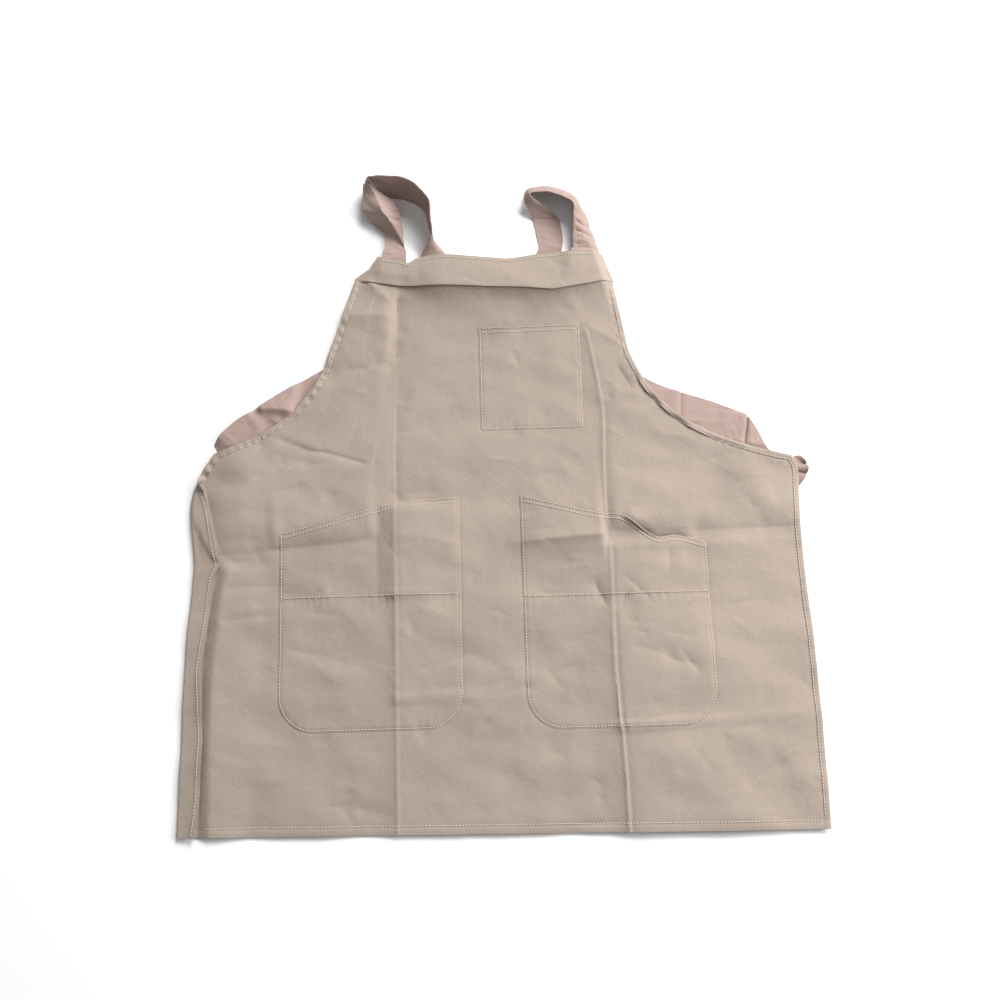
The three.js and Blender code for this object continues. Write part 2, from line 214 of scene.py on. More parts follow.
def offset_from(points: tuple[Point, ...], x: Array, y: Array) -> tuple[Array, Array, float]:
    """Where places lie beside a line of points.

    Args:
        points: Corners of the line.
        x: Places across.
        y: Places along.

    Returns:
        Offset to the left of the line, distance along it, and the line's length.
    """
    best = np.full(np.shape(x), np.inf)
    offset = np.zeros(np.shape(x))
    along = np.zeros(np.shape(x))
    walked = 0.0
    for (x0, y0), (x1, y1) in zip(points, points[1:]):
        length = math.hypot(x1 - x0, y1 - y0)
        ux, uy = (x1 - x0) / length, (y1 - y0) / length
        reach = np.clip((x - x0) * ux + (y - y0) * uy, 0.0, length)
        distance = np.hypot(x - x0 - ux * reach, y - y0 - uy * reach)
        side = np.sign((y - y0) * ux - (x - x0) * uy)
        nearer = distance < best
        best = np.where(nearer, distance, best)
        offset = np.where(nearer, distance * side, offset)
        along = np.where(nearer, walked + reach, along)
        walked += length
    return offset, along, walked


# How the cloth lies

@dataclass(frozen=True)
class Crease:
    """A line pressed into the cloth: a ridge, or a valley where height is below zero.

    Left and right are how far it reaches to either side, seen along its points. A bank starts at the line
    and rises beside it. A pinch is the thin crest of a sharp fold, with a dip on its right. A crease fades
    out at both ends, and with a lead it takes that long to grow from its first point.
    """

    points: tuple[Point, ...]
    height: float
    left: float
    right: float
    profile: Profile = Profile.SOFT
    pinch: float = 0.0
    tip: float = 0.7
    fade: float = 16.0
    lead: float = 0.0
    crest_reach: ClassVar[float] = 1.5
    dip_share: ClassVar[float] = 0.8
    dip_offset: ClassVar[float] = 3.6
    dip_reach: ClassVar[float] = 2.2
    longest_fade: ClassVar[float] = 0.45

    def lift(self, x: Array, y: Array) -> Array:
        """Height that the crease adds.

        Args:
            x: Places across.
            y: Places along.

        Returns:
            One height for each place.
        """
        offset, along, length = offset_from(self.points, x, y)
        reach = np.where(offset > 0, self.left, self.right)
        away = (np.hypot(offset, self.tip) - self.tip) / reach
        if self.profile is Profile.SOFT:
            shape = np.exp(-away)
        elif self.profile is Profile.TENT:
            shape = np.clip(1 - away, 0.0, 1.0)
        else:
            shape = away * np.exp(1 - away)
        dip = self.dip_share * hump(offset + self.dip_offset, self.dip_reach)
        crest = hump(offset, self.crest_reach) - dip
        fade = min(self.fade, self.longest_fade * length)
        ends = smoothstep(along, 0.0, self.lead or fade) * smoothstep(length - along, 0.0, fade)
        return (self.height * shape + self.pinch * crest) * ends


def sharp_fold(points: tuple[Point, ...], ridge: Spot, valley: Spot, pinch: float = 0.0,
               **ends: float) -> tuple[Crease, Crease]:
    """A ridge with a narrower valley on the same line.

    Args:
        points: Corners of the line.
        ridge: Height of the ridge, and how far it reaches to the left and to the right.
        valley: The same of the valley.
        pinch: Height of the ridge's thin crest.
        ends: How both fade at their ends.

    Returns:
        The two creases.
    """
    return Crease(points, *ridge, pinch=pinch, **ends), Crease(points, *valley, **ends)


@dataclass(frozen=True)
class Swell:
    """A broad rise where the cloth stands off the floor."""

    x: float
    y: float
    reach_x: float
    reach_y: float
    height: float

    def lift(self, x: Array, y: Array) -> Array:
        """Height that the swell adds at each place."""
        off = np.hypot((x - self.x) / self.reach_x, (y - self.y) / self.reach_y)
        return self.height * (1 - smoothstep(off, 0.0, 1.0))


SWELLS = (
    Swell(-240, -385, 75, 45, 3.0),
    Swell(30, -395, 80, 40, 2.5),
    Swell(255, -385, 80, 45, 3.0),
    Swell(-310, -20, 55, 45, 3.5),
    Swell(-322, 40, 40, 34, 5.0),
    Swell(300, -15, 55, 50, 3.0),
    Swell(-180, 175, 40, 60, 2.0),
    Swell(-60, 20, 90, 50, 1.4),
    Swell(230, -190, 70, 60, 1.2),
    Swell(-20, -200, 60, 110, 1.6),
    Swell(70, -330, 110, 40, 1.2),
)

# Storage folds, running upwards or from left to right
LEFT_FOLD = (
    Crease(((-130, -424), (-131, -330), (-131, -240)), 2.6, 9, 90, pinch=0.35),
    Crease(((-131, -262), (-131, -190), (-131, -120)), 3.4, 9, 90, pinch=0.4),
    Crease(((-131, -140), (-132, -70), (-131, -14)), 5.0, 20, 110, Profile.TENT, pinch=0.4),
    Crease(((-131, -30), (-133, 29), (-131, 110)), -1.5, 5, 18, pinch=0.7),
    Crease(((-131, 90), (-130, 137), (-129, 190)), -1.0, 5, 16, pinch=0.3),
    Crease(((-129, 160), (-127, 205), (-126, 247)), -2.6, 3, 8, fade=8),
)
RIGHT_FOLD = (
    *sharp_fold(((131, -428), (130, -350), (128, -280)), (8.4, 18, 180), (-3.8, 18, 22), pinch=1.0),
    *sharp_fold(((127, -300), (124, -226), (124, -148)), (9.6, 20, 200), (-4.4, 20, 26), pinch=1.2,
                fade=50, lead=16),
    *sharp_fold(((124, -198), (125, -100), (125, -66)), (5.8, 17, 120), (-2.4, 17, 16), pinch=0.9, lead=50),
    *sharp_fold(((124, -62), (122, -23), (123, 27), (125, 72), (125, 104)), (3.0, 8, 90), (-1.2, 8, 9),
                pinch=0.7),
    Crease(((125, 88), (121, 127), (116, 159), (108, 203)), 2.2, 7, 80, pinch=0.4),
    Crease(((104, 210), (88, 233), (77, 247), (70, 256)), 2.2, 12, 60, pinch=-0.3),
    Crease(((104, 208), (115, 198), (160, 170)), 1.8, 40, 4),
)
WAIST_FOLD = (
    Crease(((-372, -80), (-340, -77), (-305, -75), (-262, -72)), 2.6, 22, FAR, Profile.BANK),
    Crease(((-286, -73), (-222, -69), (-146, -63)), 4.2, 20, FAR, Profile.BANK),
    Crease(((-138, -59), (-95, -61), (-50, -75)), 1.8, 12, 11),
    Crease(((-4, -73), (20, -71), (77, -67), (124, -65)), 9.0, 40, 14, fade=9, lead=56),
    Crease(((122, -62), (186, -63), (251, -63), (364, -61)), 3.0, 18, FAR, Profile.BANK),
    Crease(((136, -45), (160, -60), (179, -71), (206, -69), (230, -74)), 4.2, 10, FAR, Profile.BANK),
)

# The band stands up along its foot, and the bib falls away below it
BAND_LINE = (
    (-127, 258.78), (-106, 255.84), (-84, 253.5), (-8, 249), (48, 246), (67, 244), (86, 246), (118, 251),
    (150, 259))
BAND_RIDGE = (
    Crease(((-186, 271), (-152, 262.28), (-124, 258.36)), 7.0, 900, 80, fade=3, lead=60),
    Crease(BAND_LINE, 7.0, 900, 20, fade=20, lead=3),
    Crease(BAND_LINE, 8.6, 900, 20, fade=20, lead=60),
)
PRESSED = (
    Crease(((-168, 273), (-150, 255), (-130, 236)), 2.6, 3, 7),
    Crease(((-204, 224), (-165, 221), (-126, 218)), 5.0, 22, 24),
    Crease(((-200, 149), (-163, 153), (-132, 161)), -1.7, 9, 4),
    Crease(((-282, 70), (-233, 49), (-219, 48), (-160, 30)), -1.7, 2.5, 5),
    Crease(((141, 155), (165, 113)), 2.4, 15, FAR, Profile.BANK),
    Crease(((128, 111), (180, 110)), 1.3, 30, 9, pinch=0.2),
    Crease(((-134, 68), (-93, 75), (-42, 102)), -0.8, 6, 7),
    Crease(((-338, -117), (-262, -116)), -1.2, 11, 3),
    Crease(((-340, -158), (-306, -151), (-264, -150)), -1.3, 4, 5),
    Crease(((-302, -207), (-270, -220)), -0.8, 5, 6),
    Crease(((-226, -126), (-200, -104), (-172, -83)), 1.1, 4, 5),
    Crease(((-216, -128), (-192, -108), (-170, -92)), -0.9, 4, 4),
    Crease(((104, -112), (108, -130), (121, -156)), -2.6, 6, 8),
    Crease(((148, -130), (129, -158)), -2.2, 6, 4),
    Crease(((256, -362), (320, -331)), -2.0, 15, 12),
    Crease(((70, -397), (122, -395)), -1.1, 4, 3),
    Crease(((33, 94), (94, 134)), -0.8, 5, 6),
    Crease(((-236, -149), (-188, -153)), -0.8, 4, 4),
    Crease(((-114, -222), (-70, -208), (-30, -200)), -1.0, 5, 5),
    Crease(((-250, -190), (-170, -214)), -0.7, 7, 7),
    Crease(((40, -236), (66, -222), (92, -216)), -1.1, 5, 6),
    Crease(((140, -196), (176, -206), (206, -222)), -1.0, 6, 7),
    Crease(((60, -196), (112, -178)), -0.7, 5, 5),
    Crease(((176, -212), (232, -226)), -0.8, 6, 6),
    Crease(((250, -152), (318, -148)), -0.8, 5, 6),
    Crease(((-350, -300), (-290, -320)), -0.7, 8, 8),
    Crease(((-60, 150), (-28, 170)), -0.9, 7, 7),
    Crease(((-20, 240), (50, 232)), -0.8, 9, 9),
    Crease(((230, 20), (300, 34)), -0.9, 8, 8),
    Crease(((-250, -20), (-190, -2)), -0.9, 6, 6),
    Crease(((-30, -150), (10, -160)), -1.0, 5, 6),
    Crease(((-40, -240), (14, -232)), -0.8, 5, 6),
)

# The panel rises from under the folded margin, and a line runs up from the waist to the armhole
MARGIN_CREASES = (
    Crease(((-342, -420), (-345, -300), (-345, -246), (-342, -189), (-339, -160), (-336, -130),
            (-331, -100), (-329, -82)), 4.8, 12, 50, Profile.TENT),
    Crease(((-358, -418), (-354, -291), (-356, -246), (-358, -209), (-352, -159), (-346, -118),
            (-338, -82)), -0.8, 6, 1.5),
    Crease(((-340, -76), (-350, -39), (-358, -4), (-364, 24)), -1.8, 3, 6),
)


@dataclass(frozen=True)
class Crumple:
    """Many small wrinkles strewn over the cloth, most of them running across it."""

    seed: int = 11
    count: int = 420
    spread_x: float = 370.0
    foot: float = -400.0
    top: float = 280.0
    tilt: float = 36.0
    length: Range = (14.0, 58.0)
    height: Range = (0.25, 1.0)
    valley_or_ridge: Range = (-1.0, 0.7)
    reach: Range = (2.4, 7.0)

    def creases(self) -> list[Crease]:
        """The wrinkles, the same ones each time.

        Returns:
            One crease for each wrinkle.
        """
        draw = np.random.default_rng(self.seed)
        found = []
        for _ in range(self.count):
            x = draw.uniform(-self.spread_x, self.spread_x)
            y = draw.uniform(self.foot, self.top)
            turn = math.radians(draw.normal(0.0, self.tilt))
            half = draw.uniform(*self.length) / 2
            height = draw.uniform(*self.height) * draw.choice(self.valley_or_ridge)
            left, right = draw.uniform(*self.reach, size=2)
            step_x, step_y = half * math.cos(turn), half * math.sin(turn)
            ends = ((x - step_x, y - step_y), (x + step_x, y + step_y))
            found.append(Crease(ends, height, left, right))
        return found


@dataclass(frozen=True)
class Ripples:
    """Slow uneven rise and fall of cloth that has been folded and laid out again."""

    seed: int = 5
    count: int = 44
    wavelength: Range = (30.0, 120.0)
    height: float = 0.2
    sway: float = 0.7

    def lift(self, x: Array, y: Array) -> Array:
        """Height that the ripples add, most of them running across the cloth.

        Args:
            x: Places across.
            y: Places along.

        Returns:
            One height for each place.
        """
        draw = np.random.default_rng(self.seed)
        total = np.zeros(np.shape(x))
        for _ in range(self.count):
            wavelength = draw.uniform(*self.wavelength)
            turn = draw.normal(math.pi / 2, self.sway)
            start = draw.uniform(0.0, 2 * math.pi)
            across = x * math.cos(turn) + y * math.sin(turn)
            share = math.sqrt(wavelength / self.wavelength[1])
            total += share * np.cos(2 * np.pi * across / wavelength + start)
        return self.height * total


@dataclass(frozen=True)
class Pucker:
    """Uneven little waves along a seam: how long they are, and how their length sways along it."""

    length: float
    sway: float
    sway_length: float

    def wave(self, run: Array, start: float = 0.0) -> Array:
        """Height of the waves from -1 to 1 at each distance along the seam."""
        return np.sin(2 * np.pi * run / self.length + start + self.sway * np.sin(run / self.sway_length))


# Outline of the panel

@dataclass(frozen=True)
class Outline:
    """The panel's cut edge: a slanting hem, sides, armholes and a bib that narrows upwards."""

    hem_left: float = -398.0
    hem_right: float = -410.0
    hem_middle: float = -404.0
    hem_fade_end: float = -300.0
    half_hem: float = 380.0
    bib_top: float = 284.0
    samples: int = 240
    turn_ease: float = 11.0
    left_side: tuple[Point, ...] = (
        (-380, -424), (-377, -200), (-370, -80), (-377, -18), (-367, 22), (-350, 48))
    right_side: tuple[Point, ...] = ((358, -424), (360, -280), (356, -60), (359, 6), (352, 26))
    left_armhole: tuple[Point, ...] = ((-350, 48), (-296, 66), (-238, 98), (-216, 160))
    right_armhole: tuple[Point, ...] = ((352, 26), (262, 46), (184, 84), (161, 169))
    left_bib: tuple[Point, ...] = ((-178, 272), (-160, 284), (-146, 303))
    right_bib: tuple[Point, ...] = ((150.5, 235), (146, 262), (129, 304))

    def curve(self, right: bool) -> Array:
        """One side's edge from below the hem to the strap.

        Args:
            right: Whether it is the right side.

        Returns:
            Closely spaced points, one row each.
        """
        side = self.right_side if right else self.left_side
        armhole = self.right_armhole if right else self.left_armhole
        bib = self.right_bib if right else self.left_bib
        share = np.linspace(0.0, 1.0, self.samples)
        lower = catmull_rom(np.array(side, dtype=float), share)
        upper = bezier(np.array(armhole, dtype=float), share[1:])
        return np.vstack((lower, upper, np.array(bib, dtype=float)))

    def edge(self, right: bool, y: Array) -> Array:
        """Where one side's edge lies at each height."""
        curve = self.curve(right)
        return np.interp(y, curve[:, 1], curve[:, 0])

    def run(self, right: bool, y: Array) -> Array:
        """Distance along one side's edge up to each height."""
        curve = self.curve(right)
        return np.interp(y, curve[:, 1], walked_along(curve))

    def inward(self, right: bool, y: Array) -> Array:
        """Unit vectors from one side's edge into the cloth, which turn slowly round its corners.

        Args:
            right: Whether it is the right side.
            y: Heights on the edge.

        Returns:
            One row for each height.
        """
        curve = self.curve(right)
        walked = walked_along(curve)
        spots = read_off(np.arange(0.0, walked[-1], 1.0), walked, curve)
        along = read_off(y, spots[:, 1], eased(np.gradient(spots, axis=0), self.turn_ease))
        along /= np.linalg.norm(along, axis=-1, keepdims=True)
        turned = np.stack((along[:, 1], -along[:, 0]), axis=-1)
        return -turned if right else turned

    def hem_shift(self, x: Array, y: Array) -> Array:
        """How far the slanting hem moves each place up or down."""
        slant = mix(self.hem_left, self.hem_right, (x + self.half_hem) / (2 * self.half_hem))
        return (slant - self.hem_middle) * (1 - smoothstep(y, self.hem_middle, self.hem_fade_end))

    def hem(self, x: Array) -> Array:
        """Height of the hem's edge at each place across."""
        return self.hem_middle + self.hem_shift(x, np.full_like(x, self.hem_middle))


FLAT = STRAP_CLOTH / 2
STRAP_WIDTH = 42.0


@dataclass(frozen=True)
class Section:
    """One section across a strap, its left, middle and right as seen along the strap's way.

    A seat of 1 counts its heights from the panel's upper face, and 0 from the floor. A sharp section
    is folded along its middle, and one that isn't sharp is bowed.
    """

    left: Spot
    middle: Spot
    right: Spot
    seat: float = 0.0
    sharp: float = 0.0


def laid(x: float, y: float, turn: float, width: float = STRAP_WIDTH, seat: float = 0.0) -> Section:
    """A section that lies flat.

    Args:
        x: Middle of the strap across the apron.
        y: Middle of the strap along the apron.
        turn: Heading of its left edge from the middle, in degrees.
        width: Width of the strap there.
        seat: 1 on the panel, 0 on the floor.

    Returns:
        The section.
    """
    step_x = width / 2 * math.cos(math.radians(turn))
    step_y = width / 2 * math.sin(math.radians(turn))
    return Section((x + step_x, y + step_y, FLAT), (x, y, FLAT), (x - step_x, y - step_y, FLAT), seat)


# Up from the band, over a slanting fold, round the standing loop, and down behind the bib
LEFT_SECTIONS = (
    laid(-129, 274, 180, 32, 1),
    laid(-129, 297, 180, 30, 1),
    Section((-144, 303, 8), (-129, 302, 8), (-114, 301, 8)),
    Section((-140, 320, 5), (-128, 314, 6), (-114, 307, 7)),
    Section((-140, 333, 4), (-126, 323, 6), (-116, 313, 6), sharp=0.6),
    Section((-149, 342, 4), (-128, 335, 16), (-117, 322, 9), sharp=1),
    Section((-158, 350, 3), (-135, 346, 24), (-118, 338, 10), sharp=1),
    Section((-166, 359, 16), (-142, 353, 28), (-120, 350, 10), sharp=1),
    Section((-167, 370, 19), (-147, 366, 28), (-123, 364, 11), sharp=1),
    Section((-167, 383, 20), (-153, 380, 28), (-132, 376, 15), sharp=1),
    Section((-166, 394, 21), (-160, 392, 28), (-148, 386, 20), sharp=1),
    Section((-165, 400, 8), (-163, 398, 24), (-157, 395, 34), sharp=0.5),
    Section((-156, 397, 0.6), (-157, 399, 24), (-153, 394, 42)),
    Section((-137, 387, 0.6), (-137, 391, 22), (-135, 394, 42)),
    Section((-115, 382, 0.6), (-114, 387, 22), (-115, 391, 43)),
    Section((-98, 373, 0.6), (-94, 377, 22), (-96, 378, 44)),
    Section((-89, 362, 0.6), (-84, 365, 22), (-83, 360, 45)),
    Section((-85, 344, 0.6), (-82, 346, 20), (-80, 342, 42)),
    Section((-80, 325, 0.6), (-80, 326, 16), (-80, 325, 34)),
    Section((-70, 313, 0.6), (-77, 313, 8), (-84, 314, 16)),
    laid(-78, 301, 0, 36),
    laid(-62, 284, 34),
    laid(-30, 261, 53),
    laid(60, 197, 55),
    laid(140, 136, 62),
    laid(176, 110, 62),
    laid(214, 93, 64),
    laid(254, 79, 66),
    laid(289, 64, 60),
    Section((305, 77, FLAT), (296, 58, FLAT), (284, 43, FLAT)),
    Section((315.5, 58.5, FLAT), (302, 45, FLAT), (286, 34, FLAT)),
    laid(309, 32, 16, 36),
    laid(332, 22, 8, 34),
    Section((364, 26, 3), (352, 21, 0.8), (338, 14, 0.6)),
    Section((372, 12, 9), (358, 8, 3), (342, 4, 0.6)),
    Section((367, -2, 6), (355, -4, 2), (340, -8, 0.6)),
    Section((357, -14, 0.6), (348, -14, 0.6), (334, -16, 0.6)),
)
RIGHT_SECTIONS = (
    laid(112, 268, 180, 36, 1),
    laid(113, 297, 180, 36, 1),
    Section((98, 304, 9), (115, 304, 9), (131, 300, 6)),
    Section((99, 323, 14), (112, 322, 14), (126, 323, 2)),
    Section((99.5, 336, 21), (110, 339, 18), (121, 340, 1)),
    Section((100, 347, 26), (109, 353, 18), (116, 358, 0.8)),
    Section((99, 358, 28), (105, 368, 18), (104, 375, 0.8)),
    Section((89, 365, 29), (93, 378, 18), (89, 389, 0.8)),
    Section((72, 372, 29), (71, 385, 18), (67, 395, 0.8)),
    Section((52, 374, 28), (49, 385, 18), (46, 392, 0.8)),
    Section((45, 371, 27), (41, 378, 20), (40, 382, 6)),
    Section((50, 368, 23), (44, 369, 22), (39, 371, 14)),
    Section((66, 360, 13), (54, 361, 14), (41, 362, 13)),
    Section((81, 351, 2), (65, 352, 3), (48, 353, 4)),
    Section((84, 345, 0.8), (67, 346, 0.8), (50, 347, 0.8)),
    laid(70, 325, 0, 33),
    laid(70, 308, 358, 30),
    laid(60, 286, 334, 38),
    laid(30, 264, 308),
    laid(-60, 218, 301),
    laid(-160, 163, 300),
    laid(-244, 116, 301),
    laid(-284, 90, 299),
    laid(-314, 71, 303),
    Section((-322, 36, FLAT), (-336, 50, FLAT), (-350, 64, FLAT)),
    Section((-322, 28, FLAT), (-336, 40, FLAT), (-349, 56, FLAT)),
    Section((-320, 16, FLAT), (-332, 26, FLAT), (-342, 36, FLAT)),
)

# Cross folds of the straps where they show beside the bib
LEFT_STRAP_CREASES = (
    *sharp_fold(((225, 118), (223, 102), (221, 70)), (2.0, 30, 30), (-1.9, 1.4, 1.4), fade=6),
    *sharp_fold(((305, 84), (302, 66), (297, 40)), (3.4, 24, 30), (-3.4, 1.6, 1.6), fade=6),
    Crease(((-139, 345), (-118, 350)), -2.6, 2, 2.5, fade=6),
    Crease(((-136, 355), (-122, 361)), -2.0, 2, 2.5, fade=6),
    Crease(((348, 23), (376, 13)), -6.0, 2.5, 3, fade=4),
    Crease(((350, 9), (376, 1)), -3.5, 2, 3, fade=4),
    Crease(((262, 96), (272, 70)), -0.9, 6, 6),
)
RIGHT_STRAP_CREASES = (
    Crease(((-308, 104), (-280, 103), (-246, 99)), 9.0, 40, 7),
    Crease(((-356, 62), (-332, 84), (-301, 108)), 8.0, 20, 26),
    Crease(((-290, 96), (-276, 88), (-262, 84)), 1.6, 8, 4),
    Crease(((-238, 140), (-216, 136)), 1.1, 5, 6),
    Crease(((102, 347), (120, 343)), -2.8, 2.5, 3, fade=4),
    Crease(((101, 338), (112, 333), (123, 336)), -3.6, 2.5, 3.5, fade=4),
    Crease(((100, 327), (112, 324), (124, 321)), -3.2, 2.5, 3, fade=4),
    Crease(((100, 317), (112, 319)), -1.8, 2, 3, fade=4),
    Crease(((100, 309), (118, 312)), -1.6, 2, 3, fade=4),
    Crease(((-344, 78), (-330, 66), (-318, 52)), 1.4, 5, 5),
)


def ground_track(sections: tuple[Section, ...]) -> tuple[Point, ...]:
    """The line of the stretch of a strap that lies flat under the panel."""
    highest = max(range(len(sections)), key=lambda i: sections[i].middle[2])
    return tuple(section.middle[:2] for section in sections[highest:] if section.middle[2] <= FLAT)


@dataclass
class Drape:
    """Height of the panel's upper face over the floor."""

    outline: Outline = field(default_factory=Outline)
    crumple: Crumple = field(default_factory=Crumple)
    ripples: Ripples = field(default_factory=Ripples)
    pressed_gain: float = 1.2
    floor_ease: float = 0.5
    floor_bias: float = 0.1
    calm_reach: float = 26.0
    calm_share: float = 0.95
    strap_step: float = 2.2
    strap_shelf: float = 25.0
    strap_fall: float = 34.0

    def __post_init__(self) -> None:
        """Gathers every crease once."""
        self.folds = (*LEFT_FOLD, *RIGHT_FOLD, *WAIST_FOLD, *BAND_RIDGE, *MARGIN_CREASES)
        self.wrinkles = (*PRESSED, *self.crumple.creases())
        self.tracks = (ground_track(LEFT_SECTIONS), ground_track(RIGHT_SECTIONS))

    def over_strap(self, which: int, x: Array, y: Array) -> Array:
        """Rise of the panel over one of the straps behind it.

        Args:
            which: 0 for the left strap, 1 for the right one.
            x: Places across.
            y: Places along.

        Returns:
            One height for each place.
        """
        offset, _, _ = offset_from(self.tracks[which], x, y)
        fall = smoothstep(np.abs(offset), self.strap_shelf, self.strap_shelf + self.strap_fall)
        return self.strap_step * (1 - fall)

    def calm(self, x: Array, y: Array) -> Array:
        """Share of the ripples that is left at each place, because few of them cross a storage fold.

        Args:
            x: Places across.
            y: Places along.

        Returns:
            One share for each place.
        """
        left = 1.0
        for crease in (*LEFT_FOLD, *RIGHT_FOLD, *BAND_RIDGE, MARGIN_CREASES[0]):
            offset, _, _ = offset_from(crease.points, x, y)
            left = left * (1 - self.calm_share * hump(offset, self.calm_reach))
        return left

    def top(self, x: Array, y: Array) -> Array:
        """Height of the panel's upper face, eased where it would sink into the floor or a strap.

        Args:
            x: Places across.
            y: Places along.

        Returns:
            One height for each place.
        """
        height = RESTING + self.ripples.lift(x, y) * self.calm(x, y)
        for part in (*SWELLS, *self.folds):
            height = height + part.lift(x, y)
        for wrinkle in self.wrinkles:
            height = height + self.pressed_gain * wrinkle.lift(x, y)
        under = sum(self.over_strap(which, x, y) for which in range(len(self.tracks)))
        return CLOTH + under + self.floor_ease * np.logaddexp(self.floor_bias, height / self.floor_ease)


# Mesh making

def clear_selection() -> None:
    """Leaves object mode with nothing selected."""
    bpy.ops.object.select_all(action="DESELECT")


def to_frame(spots: Array) -> Array:
    """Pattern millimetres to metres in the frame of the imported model."""
    shift = np.array((CENTRE_SHIFT[0], CENTRE_SHIFT[1], 0.0))
    return (spots + shift) * MM


def sheet_normals(spots: Array) -> Array:
    """Unit normals of a grid of places, rows by columns by 3."""
    normals = np.cross(np.gradient(spots, axis=1), np.gradient(spots, axis=0))
    return normals / np.maximum(np.linalg.norm(normals, axis=-1, keepdims=True), 1e-9)


def lowest_near(heights: Array, reach: int) -> Array:
    """Lowest height near each place of a grid.

    Args:
        heights: Rows by columns.
        reach: How many rows and columns count as near.

    Returns:
        As many rows and columns.
    """
    padded = np.pad(heights, reach, mode="edge")
    windows = np.lib.stride_tricks.sliding_window_view(padded, (2 * reach + 1, 2 * reach + 1))
    return windows.min(axis=(-2, -1))


def grid_faces(index: Array) -> list[list[int]]:
    """Four-sided faces between the rows and columns of a grid of corner numbers."""
    corners = np.stack((index[:-1, :-1], index[:-1, 1:], index[1:, 1:], index[1:, :-1]), axis=-1)
    return corners.reshape(-1, 4).tolist()


def rim_faces(upper: Array, lower: Array, stop_rows: Array, stop_columns: Array) -> list[list[int]]:
    """Faces that close the edge between a sheet's fine upper grid and its coarser lower one.

    Args:
        upper: Corner numbers of the upper grid.
        lower: Corner numbers of the lower grid.
        stop_rows: Rows of the upper grid that the lower one has.
        stop_columns: Columns of the upper grid that the lower one has.

    Returns:
        One face for each edge of the lower grid.
    """
    last_row, last_column = upper.shape[0] - 1, upper.shape[1] - 1
    sides = (
        (upper[0], lower[0], stop_columns),
        (upper[:, -1], lower[:, -1], stop_rows),
        (upper[-1, ::-1], lower[-1, ::-1], last_column - stop_columns[::-1]),
        (upper[::-1, 0], lower[::-1, 0], last_row - stop_rows[::-1]),
    )
    faces = []
    for top_line, low_line, stops in sides:
        for k, (start, end) in enumerate(zip(stops, stops[1:])):
            top_run = top_line[start:end + 1][::-1]
            faces.append([*top_run.tolist(), int(low_line[k]), int(low_line[k + 1])])
    return faces


def new_piece(name: str, corners: Array, faces: list) -> bpy.types.Object:
    """An object at the origin with a mesh of its own.

    Args:
        name: Name of the piece.
        corners: Places of its corners in pattern millimetres.
        faces: Corner numbers of each face.

    Returns:
        The object, selected and active.
    """
    mesh = bpy.data.meshes.new(name)
    mesh.from_pydata(to_frame(corners).tolist(), [], faces)
    piece = bpy.data.objects.new(name, mesh)
    bpy.context.collection.objects.link(piece)
    clear_selection()
    piece.select_set(True)
    bpy.context.view_layer.objects.active = piece
    return piece


@dataclass
class Sheet:
    """A sheet of cloth: a fine upper face, and a lower face on some of its rows and columns.

    Places are rows by columns by 3 in pattern millimetres, and the flat cloth's by 2.
    """

    name: str
    upper: Array
    lower: Array
    flat: Array
    stop_rows: Array
    stop_columns: Array

    @classmethod
    def even(cls, name: str, spots: Array, flat: Array, thickness: float) -> "Sheet":
        """A sheet of even thickness about its middle.

        Args:
            name: Name of the piece.
            spots: Middle of the cloth.
            flat: The same places on the flat cloth.
            thickness: Thickness of the cloth in millimetres.

        Returns:
            The sheet.
        """
        half = sheet_normals(spots) * thickness / 2
        rows, columns = spots.shape[:2]
        return cls(name, spots + half, spots - half, flat, np.arange(rows), np.arange(columns))

    def build(self) -> bpy.types.Object:
        """The closed mesh with the cloth's own map.

        Returns:
            The object, at the origin.
        """
        rows, columns = self.upper.shape[:2]
        chosen = np.ix_(self.stop_rows, self.stop_columns)
        below = self.lower[chosen]
        top_index = np.arange(rows * columns).reshape(rows, columns)
        low_index = rows * columns + np.arange(below.shape[0] * below.shape[1]).reshape(below.shape[:2])
        faces = grid_faces(top_index)
        faces += grid_faces(low_index[:, ::-1])
        faces += rim_faces(top_index, low_index, self.stop_rows, self.stop_columns)
        corners = np.concatenate((self.upper.reshape(-1, 3), below.reshape(-1, 3)))
        places = np.concatenate((self.flat.reshape(-1, 2), self.flat[chosen].reshape(-1, 2)))
        piece = new_piece(self.name, corners, faces)
        mesh = piece.data
        used = np.empty(len(mesh.loops), dtype=int)
        mesh.loops.foreach_get("vertex_index", used)
        cloth_map = mesh.uv_layers.new(name=CLOTH_MAP)
        cloth_map.data.foreach_set("uv", (places[used] * MM).ravel())
        bpy.ops.object.shade_smooth_by_angle(angle=math.radians(SMOOTH_ANGLE))
        return piece


# Finishes

def group_node(tree: bpy.types.NodeTree, kind: str, **settings: object) -> bpy.types.Node:
    """Adds a node to a tree.

    Args:
        tree: The node tree.
        kind: The node's type.
        settings: Its plain properties.

    Returns:
        The node.
    """
    node = tree.nodes.new(kind)
    for key, value in settings.items():
        setattr(node, key, value)
    return node


def maths(tree: bpy.types.NodeTree, operation: str, first: object, second: object = None) -> object:
    """Adds a Math node fed by sockets or numbers.

    Args:
        tree: The node tree.
        operation: The node's operation.
        first: Socket or number.
        second: Socket or number, where the operation has two.

    Returns:
        The node's output socket.
    """
    node = group_node(tree, "ShaderNodeMath", operation=operation)
    for index, value in enumerate((first, second)):
        if value is None:
            continue
        if isinstance(value, (int, float)):
            node.inputs[index].default_value = value
        else:
            tree.links.new(value, node.inputs[index])
    return node.outputs[0]


